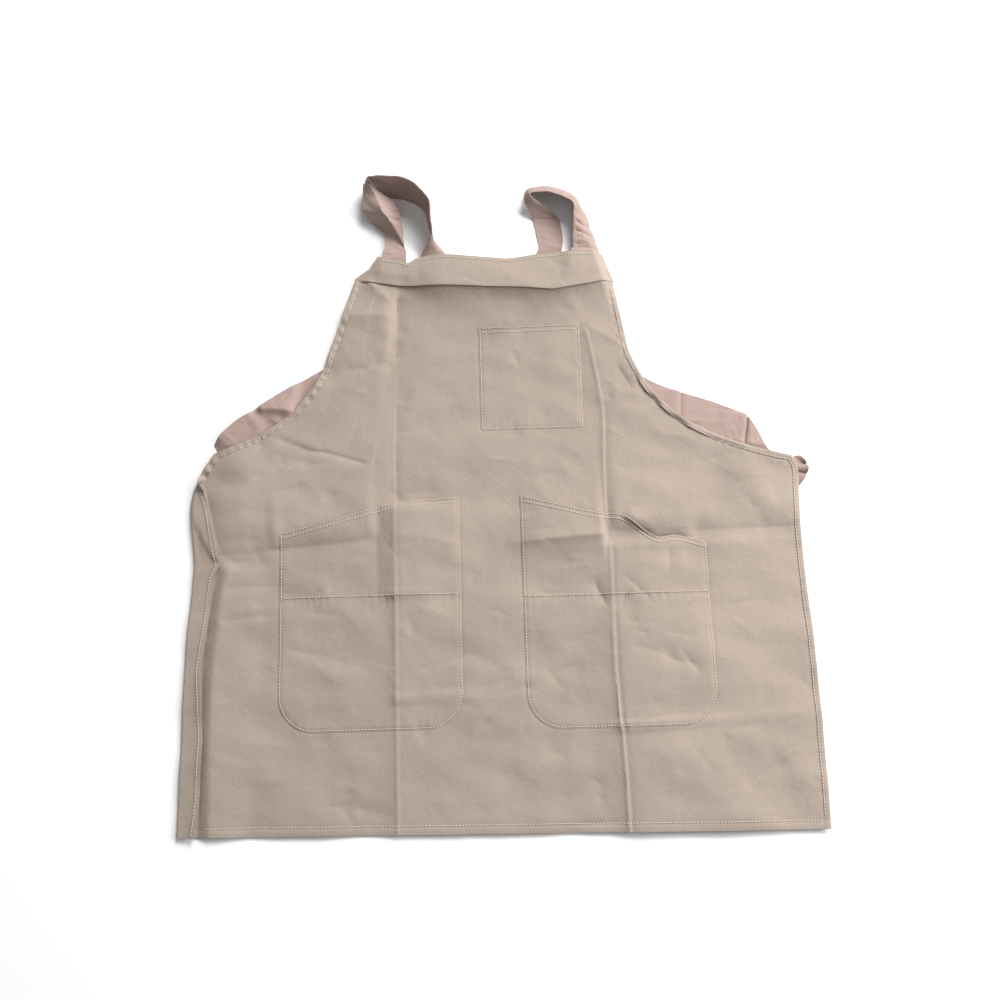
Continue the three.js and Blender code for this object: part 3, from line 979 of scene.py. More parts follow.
def noise(tree: bpy.types.NodeTree, place: object, scale: float, detail: float) -> object:
    """Adds a Noise Texture.

    Args:
        tree: The node tree.
        place: Socket with the places that it reads.
        scale: Scale of the noise.
        detail: Detail of the noise.

    Returns:
        The socket of its value.
    """
    node = group_node(tree, "ShaderNodeTexNoise")
    node.inputs["Scale"].default_value = scale
    node.inputs["Detail"].default_value = detail
    tree.links.new(place, node.inputs["Vector"])
    return node.outputs["Fac"]


@dataclass(frozen=True)
class NodeGroup:
    """A shader node group with named sockets, built once and placed in each material that uses it."""

    name: str
    inputs: ClassVar[dict[str, str]] = {}
    outputs: ClassVar[dict[str, str]] = {}

    def build(self) -> bpy.types.NodeTree:
        """The group, made once.

        Returns:
            Its node tree.
        """
        if self.name in bpy.data.node_groups:
            return bpy.data.node_groups[self.name]
        tree = bpy.data.node_groups.new(self.name, "ShaderNodeTree")
        for socket, kind in self.inputs.items():
            tree.interface.new_socket(socket, in_out="INPUT", socket_type=kind)
        for socket, kind in self.outputs.items():
            tree.interface.new_socket(socket, in_out="OUTPUT", socket_type=kind)
        self.fill(tree, tree.nodes.new("NodeGroupInput"), tree.nodes.new("NodeGroupOutput"))
        return tree

    def fill(self, tree: bpy.types.NodeTree, source: bpy.types.Node, sink: bpy.types.Node) -> None:
        """Adds the group's own nodes between its inputs and outputs."""
        raise NotImplementedError


@dataclass(frozen=True)
class WeaveGroup(NodeGroup):
    """Plain weave: threads that pass over and under each other along the cloth's own map."""

    name: str = "plain_weave"
    inputs: ClassVar[dict[str, str]] = {"Place": "NodeSocketVector", "Threads": "NodeSocketFloat"}
    outputs: ClassVar[dict[str, str]] = {"Height": "NodeSocketFloat"}

    def fill(self, tree: bpy.types.NodeTree, source: bpy.types.Node, sink: bpy.types.Node) -> None:
        """Makes the height of the cloth from its two sets of threads.

        Args:
            tree: The group's node tree.
            source: Its input node.
            sink: Its output node.
        """
        split = group_node(tree, "ShaderNodeSeparateXYZ")
        tree.links.new(source.outputs["Place"], split.inputs[0])
        turns = maths(tree, "MULTIPLY", source.outputs["Threads"], math.pi)
        warp = maths(tree, "SINE", maths(tree, "MULTIPLY", split.outputs["X"], turns))
        weft = maths(tree, "SINE", maths(tree, "MULTIPLY", split.outputs["Y"], turns))
        crossing = maths(tree, "MULTIPLY", warp, weft)
        over = maths(tree, "ADD", maths(tree, "ABSOLUTE", warp), crossing)
        under = maths(tree, "SUBTRACT", maths(tree, "ABSOLUTE", weft), crossing)
        height = maths(tree, "MULTIPLY", maths(tree, "MAXIMUM", over, under), 0.5)
        tree.links.new(height, sink.inputs["Height"])


@dataclass(frozen=True)
class ToneGroup(NodeGroup):
    """Uneven colour of dyed cloth: soft patches and faint uneven threads both ways."""

    name: str = "cloth_tone"
    patch_scale: float = 9.0
    patch_detail: float = 5.0
    thread_scale: float = 90.0
    thread_detail: float = 2.0
    thread_stretch: float = 14.0
    inputs: ClassVar[dict[str, str]] = {
        "Place": "NodeSocketVector", "Light": "NodeSocketColor", "Deep": "NodeSocketColor",
        "Streaks": "NodeSocketFloat"}
    outputs: ClassVar[dict[str, str]] = {"Colour": "NodeSocketColor"}

    def fill(self, tree: bpy.types.NodeTree, source: bpy.types.Node, sink: bpy.types.Node) -> None:
        """Blends the two tones by patches and threads.

        Args:
            tree: The group's node tree.
            source: Its input node.
            sink: Its output node.
        """
        place = source.outputs["Place"]
        patches = noise(tree, place, self.patch_scale, self.patch_detail)
        warp = self._thread(tree, place, (self.thread_stretch, 1.0, 1.0))
        weft = self._thread(tree, place, (1.0, self.thread_stretch, 1.0))
        threads = maths(tree, "SUBTRACT", maths(tree, "ADD", warp, weft), 1.0)
        streaks = maths(tree, "MULTIPLY", threads, source.outputs["Streaks"])
        share = maths(tree, "ADD", patches, streaks)
        blend = group_node(tree, "ShaderNodeMix", data_type="RGBA", clamp_factor=True)
        tree.links.new(share, blend.inputs["Factor"])
        tree.links.new(source.outputs["Deep"], blend.inputs["A"])
        tree.links.new(source.outputs["Light"], blend.inputs["B"])
        tree.links.new(blend.outputs["Result"], sink.inputs["Colour"])

    def _thread(self, tree: bpy.types.NodeTree, place: object, stretch: Spot) -> object:
        """Adds a noise drawn out along one set of threads.

        Args:
            tree: The group's node tree.
            place: Socket with the places that it reads.
            stretch: Scale of the places in each direction.

        Returns:
            The socket of its value.
        """
        mapping = group_node(tree, "ShaderNodeMapping")
        mapping.inputs["Scale"].default_value = stretch
        tree.links.new(place, mapping.inputs["Vector"])
        return noise(tree, mapping.outputs["Vector"], self.thread_scale, self.thread_detail)


@dataclass(frozen=True)
class Finish:
    """A material that is made once from its own nodes."""

    name: str
    light: Spot

    def build(self) -> bpy.types.Material:
        """The material, made once.

        Returns:
            The material.
        """
        if self.name in bpy.data.materials:
            return bpy.data.materials[self.name]
        material = bpy.data.materials.new(self.name)
        material.use_nodes = True
        tree = material.node_tree
        self.dress(tree, tree.nodes["Principled BSDF"])
        return material

    def dress(self, tree: bpy.types.NodeTree, shader: bpy.types.Node) -> None:
        """Adds the finish's own nodes."""
        raise NotImplementedError


@dataclass(frozen=True)
class ClothFinish(Finish):
    """Matt woven cotton."""

    deep: Spot
    threads: float = 1500.0
    streaks: float = 0.5
    roughness: float = 0.86
    sheen: float = 0.05
    specular: float = 0.15
    weave_depth: float = 0.00012
    crumple_scale: float = 60.0
    crumple_depth: float = 0.0008
    grain_scale: float = 230.0
    grain_depth: float = 0.0003
    bump_detail: float = 3.0

    def dress(self, tree: bpy.types.NodeTree, shader: bpy.types.Node) -> None:
        """Adds the tone, the small crumples, the grain and the weave.

        Args:
            tree: The material's node tree.
            shader: Its Principled BSDF.
        """
        shader.inputs["Roughness"].default_value = self.roughness
        shader.inputs["Sheen Weight"].default_value = self.sheen
        shader.inputs["Specular IOR Level"].default_value = self.specular
        place = group_node(tree, "ShaderNodeUVMap", uv_map=CLOTH_MAP).outputs["UV"]
        tone = group_node(tree, "ShaderNodeGroup", node_tree=ToneGroup().build())
        tone.inputs["Light"].default_value = (*self.light, 1.0)
        tone.inputs["Deep"].default_value = (*self.deep, 1.0)
        tone.inputs["Streaks"].default_value = self.streaks
        tree.links.new(place, tone.inputs["Place"])
        tree.links.new(tone.outputs["Colour"], shader.inputs["Base Color"])
        weave = group_node(tree, "ShaderNodeGroup", node_tree=WeaveGroup().build())
        weave.inputs["Threads"].default_value = self.threads
        tree.links.new(place, weave.inputs["Place"])
        crumple = noise(tree, place, self.crumple_scale, self.bump_detail)
        grain = noise(tree, place, self.grain_scale, self.bump_detail)
        normal = self._bump(tree, crumple, self.crumple_depth)
        normal = self._bump(tree, grain, self.grain_depth, normal)
        normal = self._bump(tree, weave.outputs["Height"], self.weave_depth, normal)
        tree.links.new(normal, shader.inputs["Normal"])

    @staticmethod
    def _bump(tree: bpy.types.NodeTree, height: object, distance: float, normal: object = None) -> object:
        """Adds a Bump node.

        Args:
            tree: The material's node tree.
            height: Socket of the height.
            distance: Depth of the bump in metres.
            normal: Socket of the normal that it starts from.

        Returns:
            The socket of the new normal.
        """
        bump = group_node(tree, "ShaderNodeBump")
        bump.inputs["Distance"].default_value = distance
        bump.inputs["Strength"].default_value = 1.0
        tree.links.new(height, bump.inputs["Height"])
        if normal is not None:
            tree.links.new(normal, bump.inputs["Normal"])
        return bump.outputs["Normal"]


@dataclass(frozen=True)
class ThreadFinish(Finish):
    """Twisted sewing thread, a little paler than the cloth."""

    deep: Spot
    twist: float = 2600.0
    roughness: float = 0.7

    def dress(self, tree: bpy.types.NodeTree, shader: bpy.types.Node) -> None:
        """Adds slanting bands of the two tones.

        Args:
            tree: The material's node tree.
            shader: Its Principled BSDF.
        """
        shader.inputs["Roughness"].default_value = self.roughness
        place = group_node(tree, "ShaderNodeTexCoord").outputs["Object"]
        wave = group_node(tree, "ShaderNodeTexWave", bands_direction="DIAGONAL")
        wave.inputs["Scale"].default_value = self.twist
        tree.links.new(place, wave.inputs["Vector"])
        blend = group_node(tree, "ShaderNodeMix", data_type="RGBA")
        blend.inputs["A"].default_value = (*self.deep, 1.0)
        blend.inputs["B"].default_value = (*self.light, 1.0)
        tree.links.new(wave.outputs["Fac"], blend.inputs["Factor"])
        tree.links.new(blend.outputs["Result"], shader.inputs["Base Color"])


@dataclass(frozen=True)
class FloorFinish(Finish):
    """Plain pale floor."""

    roughness: float = 0.9

    def dress(self, tree: bpy.types.NodeTree, shader: bpy.types.Node) -> None:
        """Sets the shader's own values."""
        shader.inputs["Base Color"].default_value = (*self.light, 1.0)
        shader.inputs["Roughness"].default_value = self.roughness


APRON_FINISH = ClothFinish("apron_cotton", light=(0.394, 0.324, 0.272), deep=(0.326, 0.268, 0.225))
STRAP_FINISH = ClothFinish("strap_cotton", light=(0.408, 0.299, 0.263), deep=(0.347, 0.254, 0.224))
THREAD = ThreadFinish("seam_thread", light=(0.5, 0.413, 0.346), deep=(0.44, 0.363, 0.304))
PALE_FLOOR = FloorFinish("pale_floor", light=(0.96, 0.96, 0.96))


# Pieces

def settle(piece: bpy.types.Object, finish: Finish, slot: Slot, *nodes: str) -> None:
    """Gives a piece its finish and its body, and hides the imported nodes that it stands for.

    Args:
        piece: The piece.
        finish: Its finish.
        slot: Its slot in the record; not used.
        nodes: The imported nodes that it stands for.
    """
    piece.data.materials.clear()
    piece.data.materials.append(finish.build())
    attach(piece, BODY)
    if nodes:
        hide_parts(*nodes)
    LOG.info("%s: %d faces", piece.name, len(piece.data.polygons))


@dataclass
class Stitching:
    """Stitches along several seams, joined in one mesh."""

    name: str
    length: float = 3.7
    pitch: float = 3.8
    width: float = 1.6
    height: float = 0.7
    proud: float = 0.2
    tip_sink: float = 0.1
    tube_share: float = 0.75
    sides: int = 5
    seams: list[Array] = field(default_factory=list)

    def add(self, x: Array, y: Array, z: Array) -> None:
        """Adds one seam through the given places."""
        self.seams.append(np.stack((x, y, z + self.proud), axis=-1))

    def build(self, finish: Finish, slot: Slot) -> bpy.types.Object:
        """The joined stitches as one object.

        Args:
            finish: Finish of the thread.
            slot: Record slot that the thread goes with.

        Returns:
            The object, riding on the body.
        """
        middles, heading = (np.concatenate(parts) for parts in zip(*map(self._places, self.seams)))
        across = np.cross((0.0, 0.0, 1.0), heading)
        across /= np.linalg.norm(across, axis=1, keepdims=True)
        upward = np.cross(heading, across)
        model = self._model()
        spots = (middles[:, None] + model[None, :, :1] * heading[:, None]
                 + model[None, :, 1:2] * across[:, None] + model[None, :, 2:] * upward[:, None])
        one = self._faces()
        starts = range(0, len(middles) * len(model), len(model))
        faces = [tuple(start + corner for corner in face) for start in starts for face in one]
        piece = new_piece(self.name, spots.reshape(-1, 3), faces)
        piece.data.shade_smooth()
        settle(piece, finish, slot)
        return piece

    def _places(self, seam: Array) -> tuple[Array, Array]:
        """Where a seam's stitches lie.

        Args:
            seam: Points of the seam.

        Returns:
            The stitches' middles and headings.
        """
        walked = walked_along(seam)
        middles = np.arange(self.pitch, walked[-1] - self.pitch / 2, self.pitch)
        start, end = (read_off(middles + side * self.length / 2, walked, seam) for side in (-1, 1))
        heading = end - start
        heading /= np.linalg.norm(heading, axis=1, keepdims=True)
        return (start + end) / 2, heading

    def _model(self) -> Array:
        """Corners of one stitch.

        Returns:
            How far each corner lies along the stitch, across it and up.
        """
        half = self.length / 2
        tube = self.tube_share * half
        angles = 2 * np.pi * np.arange(self.sides) / self.sides
        rings = [(place, self.width / 2 * math.cos(angle), self.height / 2 * math.sin(angle))
                 for place in (-tube, tube) for angle in angles]
        return np.array([(-half, 0.0, -self.tip_sink), *rings, (half, 0.0, -self.tip_sink)])

    def _faces(self) -> list[tuple[int, ...]]:
        """Faces of one stitch: a tip, a tube and a tip.

        Returns:
            Corner numbers of each face.
        """
        last = 2 * self.sides + 1
        faces = []
        for i in range(self.sides):
            j = (i + 1) % self.sides
            faces.append((0, 1 + j, 1 + i))
            faces.append((1 + i, 1 + j, 1 + self.sides + j, 1 + self.sides + i))
            faces.append((last, 1 + self.sides + i, 1 + self.sides + j))
        return faces


@dataclass(frozen=True)
class Welt:
    """A low smooth rise along a seam, or a groove where its height is below zero."""

    place: float
    height: float
    reach: float

    def lift(self, offset: Array) -> Array:
        """Height that it adds at each distance from the edge."""
        return self.height * hump(offset - self.place, self.reach)


@dataclass
class PatchPocket:
    """A patch pocket: sewn at its sides and rounded foot, open along its mouth."""

    name: str
    drape: Drape
    left: float
    right: float
    foot: float
    corner: float
    mouth: tuple[Point, ...]
    seam: float | None = None
    puff: float = 2.2
    mouth_lift: float = 0.8
    sag: Swell | None = None
    pucker_start: float = 0.0
    spacing: float = 2.1
    corner_rows: float = 1.4
    curve_samples: int = 120
    cover_edge: float = 1.0
    cover_ease: float = 4.0
    puffed: Range = (0.25, 0.95)
    lifted: Range = (0.86, 1.0)
    sewn: float = 2.0
    slack_share: float = 0.3
    doubling: float = 0.2
    rim_height: float = 0.3
    rim_width: float = 7.0
    edge_groove: Welt = Welt(2.0, -0.2, 1.3)
    edge_pucker: Pucker = Pucker(11.5, 2.6, 17.0)
    edge_gathers: float = 0.34
    edge_reach: float = 8.0
    edge_ramp: float = 2.5
    edge_patch: float = 23.0
    side_share: float = 0.42
    seam_groove: Welt = Welt(1.5, -0.15, 1.8)
    seam_pucker: Pucker = Pucker(9.0, 2.4, 19.0)
    seam_gathers: float = 0.5
    seam_ramp: Range = (-2.0, 1.5)
    seam_reach: float = 6.0
    seam_patch: float = 13.0
    seam_uneven: float = 0.4
    edge_stitch: float = 2.0
    hem_stitch: float = 6.5
    mouth_stitch: float = 1.2
    seam_stitch: float = 1.5
    side_samples: int = 60
    least_bend: float = 0.5
    bend_samples: int = 24
    mouth_samples: int = 160
    cut_share: float = 0.92

    @property
    def middle(self) -> float:
        """Middle of the pocket across the apron."""
        return (self.left + self.right) / 2

    @property
    def wide(self) -> float:
        """Width of the pocket."""
        return self.right - self.left

    def mouth_height(self, x: Array) -> Array:
        """Height of the mouth's edge at each place across."""
        curve = catmull_rom(np.array(self.mouth, dtype=float), np.linspace(0.0, 1.0, self.curve_samples))
        return np.interp(x, curve[:, 0], curve[:, 1])

    def inside(self, x: Array, y: Array) -> Array:
        """Distance in from the sewn sides and foot.

        Args:
            x: Places across.
            y: Places along.

        Returns:
            One distance for each place, below zero outside them.
        """
        over_x = np.abs(x - self.middle) - (self.wide / 2 - self.corner)
        over_y = self.foot + self.corner - y
        outside = np.hypot(np.maximum(over_x, 0.0), np.maximum(over_y, 0.0))
        return self.corner - outside - np.minimum(np.maximum(over_x, over_y), 0.0)

    def cover(self, x: Array, y: Array) -> Array:
        """How fully the pocket hides the panel at each place, from 0 to 1."""
        below_mouth = self.mouth_height(x) - y - self.cover_edge
        return smoothstep(np.minimum(self.inside(x, y) + self.cover_edge, below_mouth), 0.0, self.cover_ease)

    def top(self, x: Array, y: Array) -> Array:
        """Height of the pocket's upper face: thin at its sewn rim, and gathered beside the stitches.

        Args:
            x: Places across.
            y: Places along.

        Returns:
            One height for each place.
        """
        inside = np.maximum(self.inside(x, y), 0.0)
        depth = (y - self.foot) / (self.mouth_height(x) - self.foot)
        free = smoothstep(inside, self.sewn, self.slack_share * self.wide)
        lift = (self.puff * smoothstep(depth, *self.puffed)
                + self.mouth_lift * smoothstep(depth, *self.lifted))
        if self.sag is not None:
            lift = lift + self.sag.lift(x, y)
        doubled = np.where(y > self._doubled_from(x), self.doubling, 0.0)
        rim = mix(self.rim_height, GAP + CLOTH, smoothstep(inside, 0.0, self.rim_width))
        stitched = self.edge_groove.lift(inside) + self._edge_gathers(x, y, inside)
        return (self.drape.top(x, y) + rim + stitched + free * lift + doubled
                + self._seam_gathers(x, y))

    def _doubled_from(self, x: Array) -> Array:
        """Height above which the pocket is doubled by its turned top or its facing."""
        turned_top = self.mouth_height(x) - self.hem_stitch
        return turned_top if self.seam is None else np.full(np.shape(x), self.seam)

    def _edge_gathers(self, x: Array, y: Array, inside: Array) -> Array:
        """Small gathers beside the stitches of the sides and the foot.

        Args:
            x: Places across.
            y: Places along.
            inside: Distance in from the sewn edge.

        Returns:
            The height that they add.
        """
        run = np.where(np.abs(x - self.middle) > self.side_share * self.wide, y, x)
        patchy = (1 + np.sin(run / self.edge_patch + 2 * self.pucker_start)) / 2
        fade = np.exp(-inside / self.edge_reach) * smoothstep(inside, 0.0, self.edge_ramp)
        return self.edge_gathers * patchy * self.edge_pucker.wave(run, self.pucker_start) * fade

    def _seam_gathers(self, x: Array, y: Array) -> Array:
        """Small gathers under the seam that crosses the pocket.

        Args:
            x: Places across.
            y: Places along.

        Returns:
            The height that they add.
        """
        if self.seam is None:
            return np.zeros(np.shape(x))
        below = self.seam - y
        fade = smoothstep(below, *self.seam_ramp) * np.exp(-np.maximum(below, 0.0) / self.seam_reach)
        patchy = mix(1.0, np.sin(x / self.seam_patch), self.seam_uneven)
        return self.seam_gathers * self.seam_pucker.wave(x) * fade * patchy + self.seam_groove.lift(below)

    def build(self) -> bpy.types.Object:
        """The pocket's cloth as one sheet.

        Returns:
            The object, riding on the body.
        """
        across = np.linspace(0.0, 1.0, int(self.wide / self.spacing) + 1)
        turns = np.linspace(0.0, np.pi / 2, max(3, int(self.corner_rows * self.corner / self.spacing)))
        bend_top = self.foot + self.corner * (1 - math.cos(turns[-1]))
        rows = []
        for turn in turns:
            inset = self.corner * (1 - math.sin(turn))
            x = mix(self.left + inset, self.right - inset, across)
            rows.append(paired(x, self.foot + self.corner * (1 - math.cos(turn))))
        x = mix(self.left, self.right, across)
        for share in np.linspace(0.0, 1.0, int((self.mouth[0][1] - bend_top) / self.spacing))[1:]:
            rows.append(paired(x, mix(bend_top, self.mouth_height(x), share)))
        flat = np.array(rows)
        places = raised(flat, self.top(flat[..., 0], flat[..., 1]) - CLOTH / 2)
        piece = Sheet.even(f"{self.name}_cloth", places, flat, CLOTH).build()
        settle(piece, APRON_FINISH, Slot.CLOTH, self.name)
        return piece

    def stitch(self) -> bpy.types.Object:
        """Edge stitching round the sides and foot, and along the mouth and the seam.

        Returns:
            The object, riding on the body.
        """
        lines = Stitching(f"{self.name}_stitches")
        bend = max(self.corner - self.edge_stitch, self.least_bend)
        low = self.foot + self.edge_stitch
        left, right = self.left + self.edge_stitch, self.right - self.edge_stitch
        ends = self.mouth_height(np.array((left, right)))
        count = self.side_samples
        angle = np.linspace(0.0, np.pi / 2, self.bend_samples)
        fall, rise = bend * (1 - np.sin(angle)), bend * (1 - np.cos(angle))
        foot = np.linspace(left + bend, right - bend, count)
        x = np.concatenate((np.full(count, left), left + rise, foot, right - fall, np.full(count, right)))
        y = np.concatenate((np.linspace(ends[0], low + bend, count), low + fall, np.full(count, low),
                            low + rise, np.linspace(low + bend, ends[1], count)))
        lines.add(x, y, self.top(x, y))
        x = np.linspace(left, right, self.mouth_samples)
        levels = [self.mouth_height(x) - drop for drop in (self.hem_stitch, self.mouth_stitch)]
        if self.seam is not None:
            levels.append(np.full(self.mouth_samples, self.seam + self.seam_stitch))
        for y in levels:
            lines.add(x, y, self.top(x, y))
        return lines.build(THREAD, Slot.CLOTH)

    def sew(self) -> None:
        """Builds the pocket with its stitches."""
        cloth = self.build()
        stitches = self.stitch()


@dataclass
class BibBand:
    """The sewn band across the top of the bib, raised over the ends of both straps."""

    drape: Drape
    name: str = "bib_band"
    head: tuple[Point, ...] = (
        (-150, 300), (-139, 296), (-118, 291), (-110, 287), (-98, 294), (-66, 296), (-33, 292), (0, 288),
        (18, 287), (52, 292), (97, 294), (133, 294))
    foot: tuple[Point, ...] = (
        (-178, 270), (-126, 259), (-84, 254), (-46, 251.5), (-8, 249), (30, 247), (58, 244.5), (72, 244),
        (92, 247.5), (118, 252), (150, 259))
    flat_size: tuple[float, float] = (0.33, 0.04)
    overhang: float = 0.8
    set_in: float = 0.6
    edge_lift: float = 0.9
    gape: float = 1.5
    gape_from: Range = (-186.0, -104.0)
    gape_to: Range = (104.0, 146.0)
    roll: float = 0.5
    roll_to: float = 0.05
    crown: float = 0.5
    wave: float = 0.6
    wave_lengths: tuple[float, float] = (17.0, 41.0)
    strap_raise: float = 2.0
    strap_ease: Range = (1.0, 16.0)
    strap_rows: Range = (0.05, 0.5)
    head_stitch: float = 4.5
    stitch_inset: float = 4.0
    stitch_samples: int = 260
    curve_samples: int = 160
    columns: int = 190
    foot_rows: tuple[float, ...] = (0.0, 0.012, 0.03)
    rows_from: float = 0.06
    rows: int = 27
    edge_rounds: int = 4
    cover_ease: Range = (0.5, 5.0)

    def _along(self, points: tuple[Point, ...], x: Array) -> Array:
        """Height of a smooth line through the points at each place across."""
        curve = catmull_rom(np.array(points, dtype=float), np.linspace(0.0, 1.0, self.curve_samples))
        return np.interp(x, curve[:, 0], curve[:, 1])

    def foot_height(self, x: Array) -> Array:
        """Height of the band's lower edge at each place across."""
        return self._along(self.foot, x)

    def head_height(self, x: Array) -> Array:
        """Height of the band's upper edge at each place across."""
        return self._along(self.head, x)

    def cover(self, x: Array, y: Array) -> Array:
        """How fully the band hides the panel at each place, from 0 to 1."""
        return smoothstep(y - self.foot_height(x), *self.cover_ease)

    def over_strap_ends(self, x: Array) -> Array:
        """Rise over the sewn ends of the straps.

        Args:
            x: Places across.

        Returns:
            One height for each place.
        """
        rise = np.zeros(np.shape(x))
        for end in (LEFT_SECTIONS[0], RIGHT_SECTIONS[0]):
            half = abs(end.right[0] - end.left[0]) / 2
            off = np.abs(x - end.middle[0]) - half
            rise = np.maximum(rise, 1 - smoothstep(off, *self.strap_ease))
        return self.strap_raise * rise

    def top(self, x: Array, y: Array) -> Array:
        """Height of the band's upper face.

        Args:
            x: Places across.
            y: Places along.

        Returns:
            One height for each place.
        """
        foot = self.foot_height(x)
        share = (y - foot) / (self.head_height(x) - foot)
        free = (self.edge_lift + self.gape * window(x, self.gape_from, self.gape_to)) * (1 - share)
        rolled = -self.roll * (1 - smoothstep(share, 0.0, self.roll_to))
        short, long = self.wave_lengths
        wave = self.wave * np.sin(x / short) * np.sin(x / long + 1.0)
        crown = self.crown * np.sin(np.pi * np.clip(share, 0.0, 1.0))
        over_strap = self.over_strap_ends(x) * smoothstep(share, *self.strap_rows)
        laid_on = self.drape.top(x, y) + GAP + BAND_CLOTH - self.set_in
        return laid_on + over_strap + free + rolled + wave * share + crown

    def build(self) -> bpy.types.Object:
        """The band's cloth as one sheet.

        Returns:
            The object, riding on the body.
        """
        outline = self.drape.outline
        across = np.linspace(0.0, 1.0, self.columns)
        spots = []
        for share in (*self.foot_rows, *np.linspace(self.rows_from, 1.0, self.rows)):
            x = mix(outline.left_bib[0][0], outline.right_bib[1][0], across)
            for _ in range(self.edge_rounds):
                y = mix(self.foot_height(x), self.head_height(x), share)
                start = outline.edge(False, y) - self.overhang
                x = mix(start, outline.edge(True, y) + self.overhang, across)
            spots.append(paired(x, y))
        flat = np.array(spots)
        places = raised(flat, self.top(flat[..., 0], flat[..., 1]) - BAND_CLOTH / 2)
        piece = Sheet.even(f"{self.name}_cloth", places, flat, BAND_CLOTH).build()
        settle(piece, APRON_FINISH, Slot.CLOTH, self.name)
        return piece

    def sew(self) -> None:
        """Builds the band with its stitches."""
        cloth = self.build()
        lines = Stitching(f"{self.name}_stitches")
        start, end = self.head[0][0] + self.stitch_inset, self.head[-1][0] - self.stitch_inset
        x = np.linspace(start, end, self.stitch_samples)
        y = self.head_height(x) - self.head_stitch
        lines.add(x, y, self.top(x, y))
        stitches = lines.build(THREAD, Slot.CLOTH)


@dataclass(frozen=True)
class TurnedHem:
    """A narrow turned hem, gathered beside its stitches."""

    roll: float = 0.6
    roll_from: float = 1.6
    inner: Range = (4.2, 8.0)
    inner_sway: float = 2.0
    wander: Pucker = Pucker(18 * math.pi, 2.2, 33.0)
    groove: Welt = Welt(7.6, -0.2, 2.0)
    gather: Pucker = Pucker(12.0, 2.6, 21.0)
    gathered: Welt = Welt(6.0, 1.0, 5.0)
    patch: tuple[float, float, float] = (0.8, 0.4, 14.0)

    def lift(self, inset: Array, run: Array, gathers: Array, stand: Array | float = 0.0) -> Array:
        """Height that the hem adds.

        Args:
            inset: Distance in from the cut edge.
            run: Distance along the edge.
            gathers: Height of the gathers.
            stand: Height that the hem is rolled up by.

        Returns:
            One height for each place.
        """
        wander = gathers * self.wander.wave(run)
        inner = 1 - smoothstep(inset + self.inner_sway * wander, *self.inner)
        roll = (self.roll * (1 + wander) + stand) * smoothstep(inset, 0.0, self.roll_from) * inner
        level, swing, length = self.patch
        patchy = level + swing * np.sin(run / length + 1.0)
        gathered = gathers * self.gather.wave(run) * patchy * self.gathered.lift(inset)
        return roll + self.groove.lift(inset) + gathered


@dataclass(frozen=True)
class Margin:
    """The panel's left margin, row by row and column by column.

    It has the places, the places on the flat cloth, the fold line, and the distance from the free edge.
    """

    spots: Array
    flat: Array
    line: Array
    insets: Array

    def seam(self, inset: float, foot: float, head: float) -> Array:
        """Places at one distance in from the free edge, between two heights."""
        found = [read_off(inset, row, places) for row, places in zip(self.insets, self.spots)]
        return np.array([place for place in found if foot < place[1] < head])


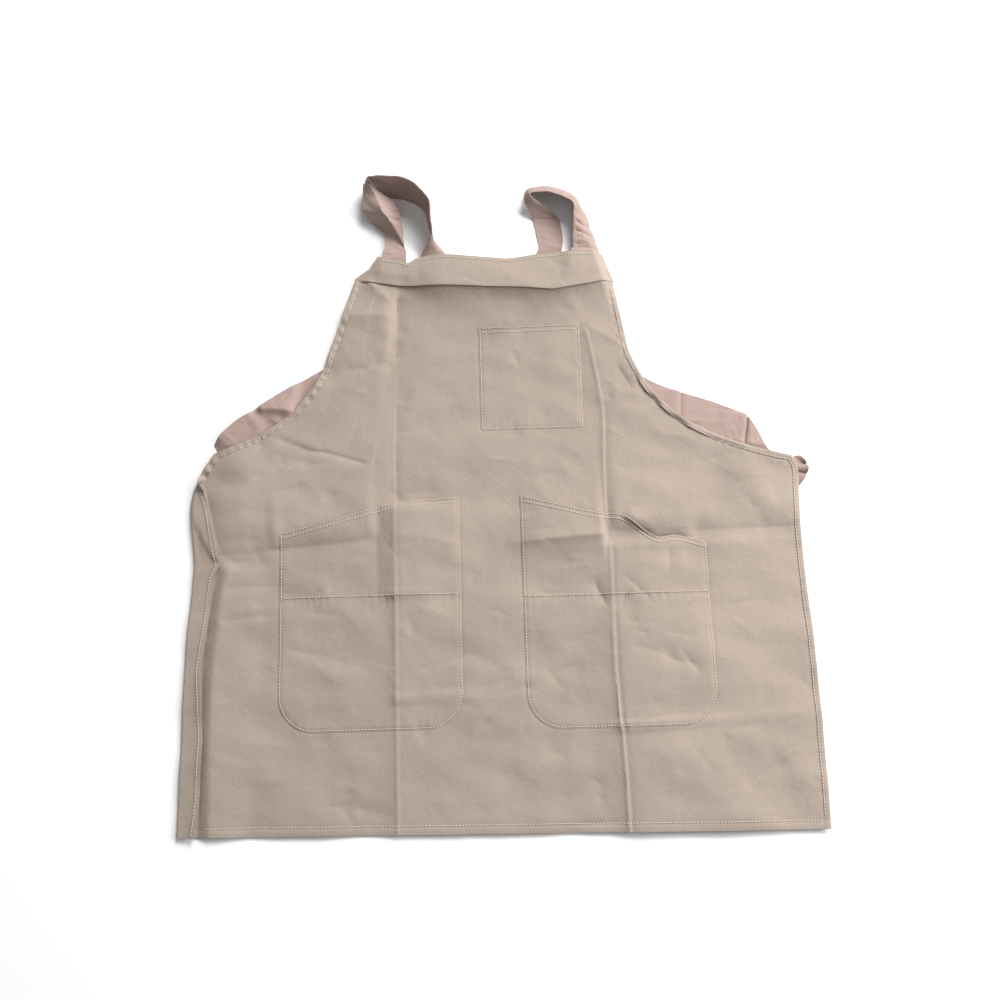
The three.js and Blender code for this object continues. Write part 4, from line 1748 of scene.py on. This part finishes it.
@dataclass
class BodyPanel:
    """Bib and skirt in one cloth, its left margin folded over to the front."""

    drape: Drape
    covers: tuple[PatchPocket | BibBand, ...]
    name: str = "body_panel"
    flat_size: tuple[float, float] = (0.79, 0.73)
    flat_area: float = 0.46
    row_stops: tuple[tuple[float, int], ...] = (
        (-391.0, 7), (-112.0, 106), (-38.0, 40), (18.0, 24), (72.0, 42), (166.0, 36))
    bib_rows: int = 45
    fold_left: float = -131.0
    fold_right: tuple[Point, ...] = (
        (131, -428), (128, -290), (124, -226), (125, -66), (122, -23), (125, 72), (125, 104), (116, 159),
        (108, 203), (101, 284))
    left_steps: tuple[float, ...] = (-23.0, -17.0, -11.5, -7.0, -4.0, -2.0, -0.6, 0.6, 2.0, 4.0, 7.5)
    right_steps: tuple[float, ...] = (-20.0, -14.0, -9.0, -5.0, -2.2, -0.6, 0.8, 2.2, 3.6, 5.6, 9.5)
    full_room: float = 60.0
    waist: float = -66.0
    waist_line: tuple[Point, ...] = (
        (-372, -80), (-340, -77), (-222, -69), (-150, -63), (20, -70), (126, -65), (251, -63), (362, -61))
    waist_reach: float = 40.0
    margin_radius: float = 1.3
    margin_folded_from: float = 2.0
    margin_flat_to: float = 24.0
    least_bend: float = 1e-3
    wholly_folded: float = 0.9
    free_edge: tuple[Point, ...] = (
        (-360, -410), (-358, -396), (-355, -357), (-354, -291), (-356, -246), (-359, -209), (-352, -159),
        (-347, -106), (-339, -80), (-341, -73), (-350, -39), (-358, -4), (-362, 19))
    flap_step: tuple[Point, ...] = ((-343, -74), (-357, -54), (-371, -35), (-384, -14))
    flap_step_height: float = 1.8
    flap_step_ease: Range = (-1.0, 2.5)
    flap_step_ramp: float = 6.0
    flap_lift: float = 2.6
    flap_wave: Pucker = Pucker(38 * math.pi, 2.0, 47.0)
    flap_wave_share: float = 0.6
    flap_ease: float = 0.7
    hem: TurnedHem = TurnedHem()
    hem_stitch: float = 6.2
    hem_steps: tuple[float, ...] = (13.5, 10.5, 8.4, 7.2, 6.2, 4.6, 3.0, 1.4, 0.0)
    left_gathers: Range = (1.1, 0.25)
    right_gathers: Range = (0.2, 0.75)
    gathers_from: Range = (8.0, 40.0)
    hem_stand: float = 2.4
    stand_from: Range = (30.0, 80.0)
    stand_to: Range = (118.0, 150.0)
    side_seam: Range = (-398.0, 262.0)
    flap_stitch: float = 4.6
    bottom_welts: tuple[Welt, ...] = (Welt(4.5, 0.35, 3.2), Welt(9.5, -0.3, 1.8))
    bottom_stitch: float = 9.5
    bottom_half: float = 352.0
    bottom_samples: int = 400
    unfolded: float = 5.0
    flap_columns: int = 12
    bend_columns: int = 7
    side_columns: int = 80
    side_dense: float = 0.6
    middle_columns: int = 82
    right_columns: int = 64
    dense: float = 0.2
    hidden_drop: float = 0.9
    least_height: float = 0.02
    under_step: int = 3

    def row_levels(self) -> Array:
        """Heights of the rows, close together at the hem, the waist fold and the armholes.

        Returns:
            One height for each row.
        """
        outline = self.drape.outline
        start = outline.hem_middle
        levels = []
        for end, steps in (*self.row_stops, (outline.bib_top, self.bib_rows)):
            levels.append(graded(start, end, steps))
            start = end
        return np.concatenate((*levels, (start,)))

    def fold_angle(self, y: Array) -> Array:
        """How far the left margin is folded over, in radians."""
        return np.pi * (1 - smoothstep(y, self.margin_folded_from, self.margin_flat_to))

    def margin(self, y: Array) -> Margin:
        """The left margin's columns, from its free edge to its fold line.

        Args:
            y: Heights of the rows.

        Returns:
            The margin.
        """
        outline = self.drape.outline
        inward = outline.inward(False, y)
        run = outline.run(False, y)
        angle = np.maximum(self.fold_angle(y), self.least_bend)
        folded = angle / np.pi
        bend_length = np.pi * self.margin_radius
        from_edge = mix(bend_length + self.unfolded, self.margin_radius, folded)
        line = paired(outline.edge(False, y), y) + inward * from_edge[:, None]
        points = np.array(self.free_edge, dtype=float)
        free = np.interp(y, points[:, 1], points[:, 0])
        flap_width = mix(self.unfolded, np.maximum(free - line[:, 0], self.unfolded), folded)
        base = self.drape.top(line[:, 0], line[:, 1]) - CLOTH / 2
        radius = bend_length / angle
        gathers = mix(*self.left_gathers, folded)
        flap_lift = self.flap_lift * folded * (1 + self.flap_wave_share * self.flap_wave.wave(y))
        spots, flats, insets = [], [], []
        for step in self._margin_steps():
            bent, flap_share = min(1.0, step), max(0.0, step - 1.0)
            bend, flap = angle * bent, flap_width * flap_share
            out = radius * np.sin(bend) + flap * np.cos(bend)
            rise = radius - radius * np.cos(bend) + flap * np.sin(bend)
            place = line - inward * out[:, None]
            inset = flap_width * (1 - flap_share) + bend_length * max(0.0, 1.0 - step)
            z = base + rise
            if step > 1.0:
                clear = self.drape.top(place[:, 0], place[:, 1]) + GAP + CLOTH / 2
                z = np.where(folded > self.wholly_folded, np.maximum(z, clear), z)
                z = z + flap_lift * flap_share ** 2 + self._flap_step(place) * folded
            z = z + self.hem.lift(inset, run, gathers) * (1 - self.flap_ease * folded)
            spots.append(raised(place, z))
            flats.append(line - inward * (bend_length * bent + flap)[:, None])
            insets.append(inset)
        places = np.stack(spots, axis=1)
        places[..., :2] = self._settle_rows(places[..., :2])
        return Margin(places, np.stack(flats, axis=1), line, np.stack(insets, axis=1))

    def _margin_steps(self) -> Array:
        """The margin's columns, counted from its fold line: the bend up to 1, and the flap from 1 to 2.

        Returns:
            One count for each column, from the free edge inwards.
        """
        flap = np.linspace(0.0, 1.0, self.flap_columns + 1)[:0:-1] + 1.0
        bend = np.linspace(0.0, 1.0, self.bend_columns + 1)[:0:-1]
        return np.concatenate((flap, bend))

    def _flap_step(self, place: Array) -> Array:
        """Rise of the folded margin over the slanting crease above the waist.

        Args:
            place: Places, one row each.

        Returns:
            One height for each place.
        """
        offset, _, _ = offset_from(self.flap_step, place[:, 0], place[:, 1])
        foot, ramp = self.flap_step[0][1], self.flap_step_ramp
        above = smoothstep(place[:, 1], foot - ramp, foot + ramp)
        return self.flap_step_height * above * (1 - smoothstep(offset, *self.flap_step_ease))

    def _columns(self, y: Array, line: Array) -> tuple[Array, Array]:
        """The columns between the margin's fold line and the right edge.

        Args:
            y: Heights of the rows.
            line: Points of the margin's fold line.

        Returns:
            Places rows by columns by 2, and the height that the right hem adds.
        """
        outline = self.drape.outline
        edge = paired(outline.edge(True, y), y)
        inward = outline.inward(True, y)
        path = np.array(self.fold_right, dtype=float)
        fold = np.interp(y, path[:, 1], path[:, 0])
        room = np.minimum(1.0, (edge[:, 0] - fold) / self.full_room)
        left_fold = [paired(self.fold_left + step, y) for step in self.left_steps]
        right_fold = [paired(fold + step * np.where(step > 0, room, 1.0), y) for step in self.right_steps]
        hem = [edge + inward * (step * room)[:, None] for step in self.hem_steps]
        found = self._between(line, left_fold[0], self.side_columns, self.side_dense)
        found += left_fold[:-1]
        found += self._between(left_fold[-1], right_fold[0], self.middle_columns, self.dense)
        found += right_fold[:-1]
        found += self._between(right_fold[-1], hem[0], self.right_columns, self.dense)
        lip = np.zeros((len(y), len(found) + len(hem)))
        insets = np.array(self.hem_steps)[None] * room[:, None]
        gathers = mix(*self.right_gathers, smoothstep(y, *self.gathers_from))
        stand = self.hem_stand * window(y, self.stand_from, self.stand_to)
        run = outline.run(True, y)
        lip[:, len(found):] = self.hem.lift(insets, run[:, None], gathers[:, None], stand[:, None])
        return np.stack(found + hem, axis=1), lip

    @staticmethod
    def _between(start: Array, end: Array, steps: int, dense: float) -> list[Array]:
        """Columns from start up to, but without, end."""
        return [mix(start, end, share) for share in graded(0.0, 1.0, steps, dense)]

    def _settle_rows(self, flat: Array) -> Array:
        """Slants the hem and bends the middle rows along the waist fold.

        Args:
            flat: Places rows by columns by 2.

        Returns:
            As many places.
        """
        x, y = flat[..., 0], flat[..., 1]
        points = np.array(self.waist_line, dtype=float)
        shift = np.interp(x, points[:, 0], points[:, 1]) - self.waist
        near = 1 - smoothstep(np.abs(y - self.waist), 0.0, self.waist_reach)
        return paired(x, y + self.drape.outline.hem_shift(x, y) + shift * near)

    def top(self, x: Array, y: Array) -> Array:
        """Height of the panel's upper face with its bottom hem puffed up beside the stitches."""
        from_hem = y - self.drape.outline.hem(x)
        return self.drape.top(x, y) + sum(welt.lift(from_hem) for welt in self.bottom_welts)

    def surface(self, y: Array, margin: Margin) -> tuple[Array, Array]:
        """The panel right of the margin.

        Args:
            y: Heights of the rows.
            margin: The left margin's columns.

        Returns:
            Places of its middle surface, and the same places on the flat cloth.
        """
        columns, lip = self._columns(y, margin.line)
        flat = self._settle_rows(columns)
        x, along = flat[..., 0], flat[..., 1]
        hidden = np.zeros(np.shape(x))
        for cover in self.covers:
            hidden = np.maximum(hidden, cover.cover(x, along))
        z = self.top(x, along) + lip - CLOTH / 2 - self.hidden_drop * hidden
        return raised(flat, np.maximum(z, CLOTH / 2 + OVER_FLOOR)), flat

    def build(self, y: Array, margin: Margin, panel: Array, flat: Array) -> bpy.types.Object:
        """The panel as one sheet, with a coarser lower face that stays under every dip.

        Args:
            y: Heights of the rows.
            margin: The left margin's columns.
            panel: Places right of the margin.
            flat: The same places on the flat cloth.

        Returns:
            The object, riding on the body.
        """
        spots = np.concatenate((margin.spots, panel), axis=1)
        cloth = np.concatenate((margin.flat, flat), axis=1)
        half = sheet_normals(spots) * CLOTH / 2
        lower = spots - half
        turned = margin.spots.shape[1]
        lower[:, turned:, :2] = spots[:, turned:, :2]
        lower[:, turned:, 2] = lowest_near(spots[:, turned:, 2], self.under_step) - CLOTH / 2
        lower[..., 2] = np.maximum(lower[..., 2], self.least_height)
        rows = self._stops(len(y), np.flatnonzero(np.abs(y - self.waist) < self.waist_reach / 2))
        columns = self._stops(spots.shape[1], np.arange(turned + 1))
        piece = Sheet(f"{self.name}_cloth", spots + half, lower, cloth, rows, columns).build()
        settle(piece, APRON_FINISH, Slot.CLOTH, self.name)
        return piece

    def _stops(self, count: int, every: Array) -> Array:
        """Rows or columns that the lower face keeps: some of them all, and each few of the rest."""
        return np.unique(np.concatenate((every, np.arange(0, count, self.under_step), (count - 1,))))

    def stitch(self, margin: Margin, panel: Array) -> bpy.types.Object:
        """Stitches along the hem, the right side, both armholes and the folded margin.

        Args:
            margin: The left margin's columns.
            panel: Places right of the margin.

        Returns:
            The object, riding on the body.
        """
        lines = Stitching(f"{self.name}_stitches")
        foot, head = self.side_seam
        right = panel[:, self.hem_steps.index(self.hem_stitch) - len(self.hem_steps)]
        seams = (
            margin.seam(self.flap_stitch, -FAR, self.margin_folded_from),
            margin.seam(self.hem_stitch, self.margin_flat_to, head),
            right[(right[:, 1] > foot) & (right[:, 1] < head)],
        )
        for seam in seams:
            lines.add(seam[:, 0], seam[:, 1], seam[:, 2] + CLOTH / 2)
        x = np.linspace(-self.bottom_half, self.bottom_half, self.bottom_samples)
        y = self.drape.outline.hem(x) + self.bottom_stitch
        lines.add(x, y, self.top(x, y))
        return lines.build(THREAD, Slot.CLOTH)

    def sew(self) -> None:
        """Builds the panel with its stitches."""
        y = self.row_levels()
        margin = self.margin(y)
        panel, flat = self.surface(y, margin)
        cloth = self.build(y, margin, panel, flat)
        stitches = self.stitch(margin, panel)


@dataclass
class ShoulderStrap:
    """A flat strap: sewn under the band, looped up and back, and laid behind the bib."""

    name: str
    drape: Drape
    rows: tuple[Section, ...]
    creases: tuple[Crease, ...]
    crosses: bool
    seed: int
    sections: int = 900
    strips: int = 25
    waves: int = 16
    wave_height: float = 0.15
    wavelength: Range = (8.0, 44.0)
    usual_wave: float = 20.0
    wave_turn: float = 0.55
    patch_length: Range = (60.0, 190.0)

    def _wrinkles(self, flat: Array) -> Array:
        """Small wrinkles, most of them across the strap.

        Args:
            flat: Places on the flat strap, along it and across it.

        Returns:
            One height for each place.
        """
        draw = np.random.default_rng(self.seed)
        along, across = flat[..., 0], flat[..., 1]
        total = np.zeros(along.shape)
        for _ in range(self.waves):
            wavelength = draw.uniform(*self.wavelength)
            turn = draw.normal(0.0, self.wave_turn)
            start, patch_start = draw.uniform(0.0, 2 * math.pi, size=2)
            patch = np.cos(np.pi * along / draw.uniform(*self.patch_length) + patch_start) ** 2
            place = along * math.cos(turn) + across * math.sin(turn)
            height = math.sqrt(wavelength / self.usual_wave)
            total += patch * height * np.cos(2 * np.pi * place / wavelength + start)
        return self.wave_height * total

    def spots(self) -> tuple[Array, Array]:
        """Where the strap lies.

        Returns:
            Places of its middle surface, and the same places on the flat strap.
        """
        share = np.linspace(0.0, 1.0, self.sections)
        lines = np.array([(row.right, row.middle, row.left) for row in self.rows], dtype=float)
        right, middle, left = (catmull_rom(lines[:, side], share) for side in range(3))
        traits = np.array([(row.seat, row.sharp) for row in self.rows], dtype=float)
        seat, sharp = np.clip(catmull_rom(traits, share), 0.0, 1.0).T
        across = np.linspace(-1.0, 1.0, self.strips)[:, None, None]
        square = across * across
        bowed = ((square - across) / 2, 1 - square, (square + across) / 2)
        folded = (np.maximum(-across, 0.0), 1 - np.abs(across), np.maximum(across, 0.0))
        shares = [mix(bow, fold, sharp[None, :, None]) for bow, fold in zip(bowed, folded)]
        places = sum(weight * guide[None] for weight, guide in zip(shares, (right, middle, left)))
        width = np.linalg.norm(middle - right, axis=1) + np.linalg.norm(left - middle, axis=1)
        flat = paired(walked_along(middle)[None], across[..., 0] * width[None] / 2)
        x, y = places[..., 0].copy(), places[..., 1].copy()
        places = places + sheet_normals(places) * (self._wrinkles(flat) * (1 - seat))[..., None]
        z = places[..., 2] + sum(crease.lift(x, y) for crease in self.creases)
        z = np.maximum(z, FLAT + OVER_FLOOR) + seat * (self.drape.top(x, y) + GAP)
        if self.crosses:
            z = z + self.drape.over_strap(0, x, y)
        return raised(places[..., :2], z), flat

    def sew(self) -> None:
        """Builds the strap."""
        places, flat = self.spots()
        piece = Sheet.even(f"{self.name}_cloth", places, flat, STRAP_CLOTH).build()
        settle(piece, STRAP_FINISH, Slot.STRAP, self.name)


@dataclass
class Studio:
    """Pale floor, soft light from the upper right, and the camera above the hem."""

    target: Spot = (1.5, -12.5, 0.0)
    distance: float = 1213.0
    elevation: float = 78.0
    azimuth: float = -1.7
    lens: float = 36.0
    sensor: float = 36.0
    floor_size: float = 8.0
    key_place: Spot = (1.6, 3.0, 3.1)
    key_size: float = 2.2
    key_power: float = 242.0
    side_place: Spot = (1.7, 0.2, 1.1)
    side_size: float = 0.9
    side_power: float = 33.0
    sky: float = 0.3

    def floor(self) -> None:
        """A wide pale floor."""
        clear_selection()
        bpy.ops.mesh.primitive_plane_add(size=self.floor_size)
        floor = bpy.context.active_object
        floor.name = "floor"
        floor.data.materials.append(PALE_FLOOR.build())

    def lamp(self, name: str, place: Spot, size: float, power: float) -> None:
        """A square lamp that points at the middle of the apron.

        Args:
            name: Name of the lamp.
            place: Where it hangs, in metres.
            size: Length of its sides in metres.
            power: Power in watts.
        """
        clear_selection()
        bpy.ops.object.light_add(type="AREA", location=place)
        lamp = bpy.context.active_object
        lamp.name = name
        lamp.data.size = size
        lamp.data.energy = power
        lamp.rotation_euler = (-Vector(place)).to_track_quat("-Z", "Y").to_euler()

    def light(self) -> None:
        """Key lamp beyond the straps, a weak lamp at the right, and an even sky."""
        self.lamp("key_lamp", self.key_place, self.key_size, self.key_power)
        self.lamp("side_lamp", self.side_place, self.side_size, self.side_power)
        world = bpy.data.worlds.new("studio")
        world.use_nodes = True
        background = world.node_tree.nodes["Background"]
        background.inputs["Color"].default_value = (1.0, 1.0, 1.0, 1.0)
        background.inputs["Strength"].default_value = self.sky
        bpy.context.scene.world = world
        bpy.context.scene.view_settings.view_transform = "Standard"

    def camera(self) -> None:
        """A camera that looks down at the apron from just beyond the hem."""
        rise, turn = math.radians(self.elevation), math.radians(self.azimuth)
        back = Vector((math.sin(turn) * math.cos(rise), -math.cos(turn) * math.cos(rise), math.sin(rise)))
        target = Vector(self.target) * MM
        clear_selection()
        bpy.ops.object.camera_add(location=target + back * self.distance * MM)
        camera = bpy.context.active_object
        camera.name = "camera"
        camera.data.sensor_width = self.sensor
        camera.data.lens = self.lens
        camera.rotation_euler = back.to_track_quat("Z", "Y").to_euler()
        bpy.context.scene.camera = camera


def main() -> None:
    """Builds the apron piece by piece, then the floor, light and camera."""
    logging.basicConfig(level=logging.INFO, format="%(name)s %(message)s")
    drape = Drape()
    studio = Studio()
    studio.camera()
    pockets = (
        PatchPocket("chest_pocket", drape, left=-25, right=102, foot=69, corner=3,
                    mouth=((-25, 201), (38, 201), (102, 203)), puff=1.4, mouth_lift=0.4),
        PatchPocket("pocket_left", drape, left=-269, right=-53, foot=-287, corner=42, seam=-132,
                    mouth=((-269, -54), (-200, -37), (-131, -20), (-53, -13)), puff=2.4, mouth_lift=1.2),
        PatchPocket("pocket_right", drape, left=20, right=241, foot=-291, corner=42, seam=-138,
                    mouth=((20, -14), (104, -37), (142, -43), (179, -69), (206, -68), (241, -78)),
                    puff=2.4, mouth_lift=1.0, sag=Swell(176, -60, 42, 30, 5.0), pucker_start=1.0),
    )
    band = BibBand(drape)
    BodyPanel(drape, (*pockets, band)).sew()
    for pocket in pockets:
        pocket.sew()
    band.sew()
    ShoulderStrap("strap_left", drape, LEFT_SECTIONS, LEFT_STRAP_CREASES, crosses=False, seed=3).sew()
    ShoulderStrap("strap_right", drape, RIGHT_SECTIONS, RIGHT_STRAP_CREASES, crosses=True, seed=8).sew()
    studio.floor()
    studio.light()


if __name__ == "__main__":
    main()
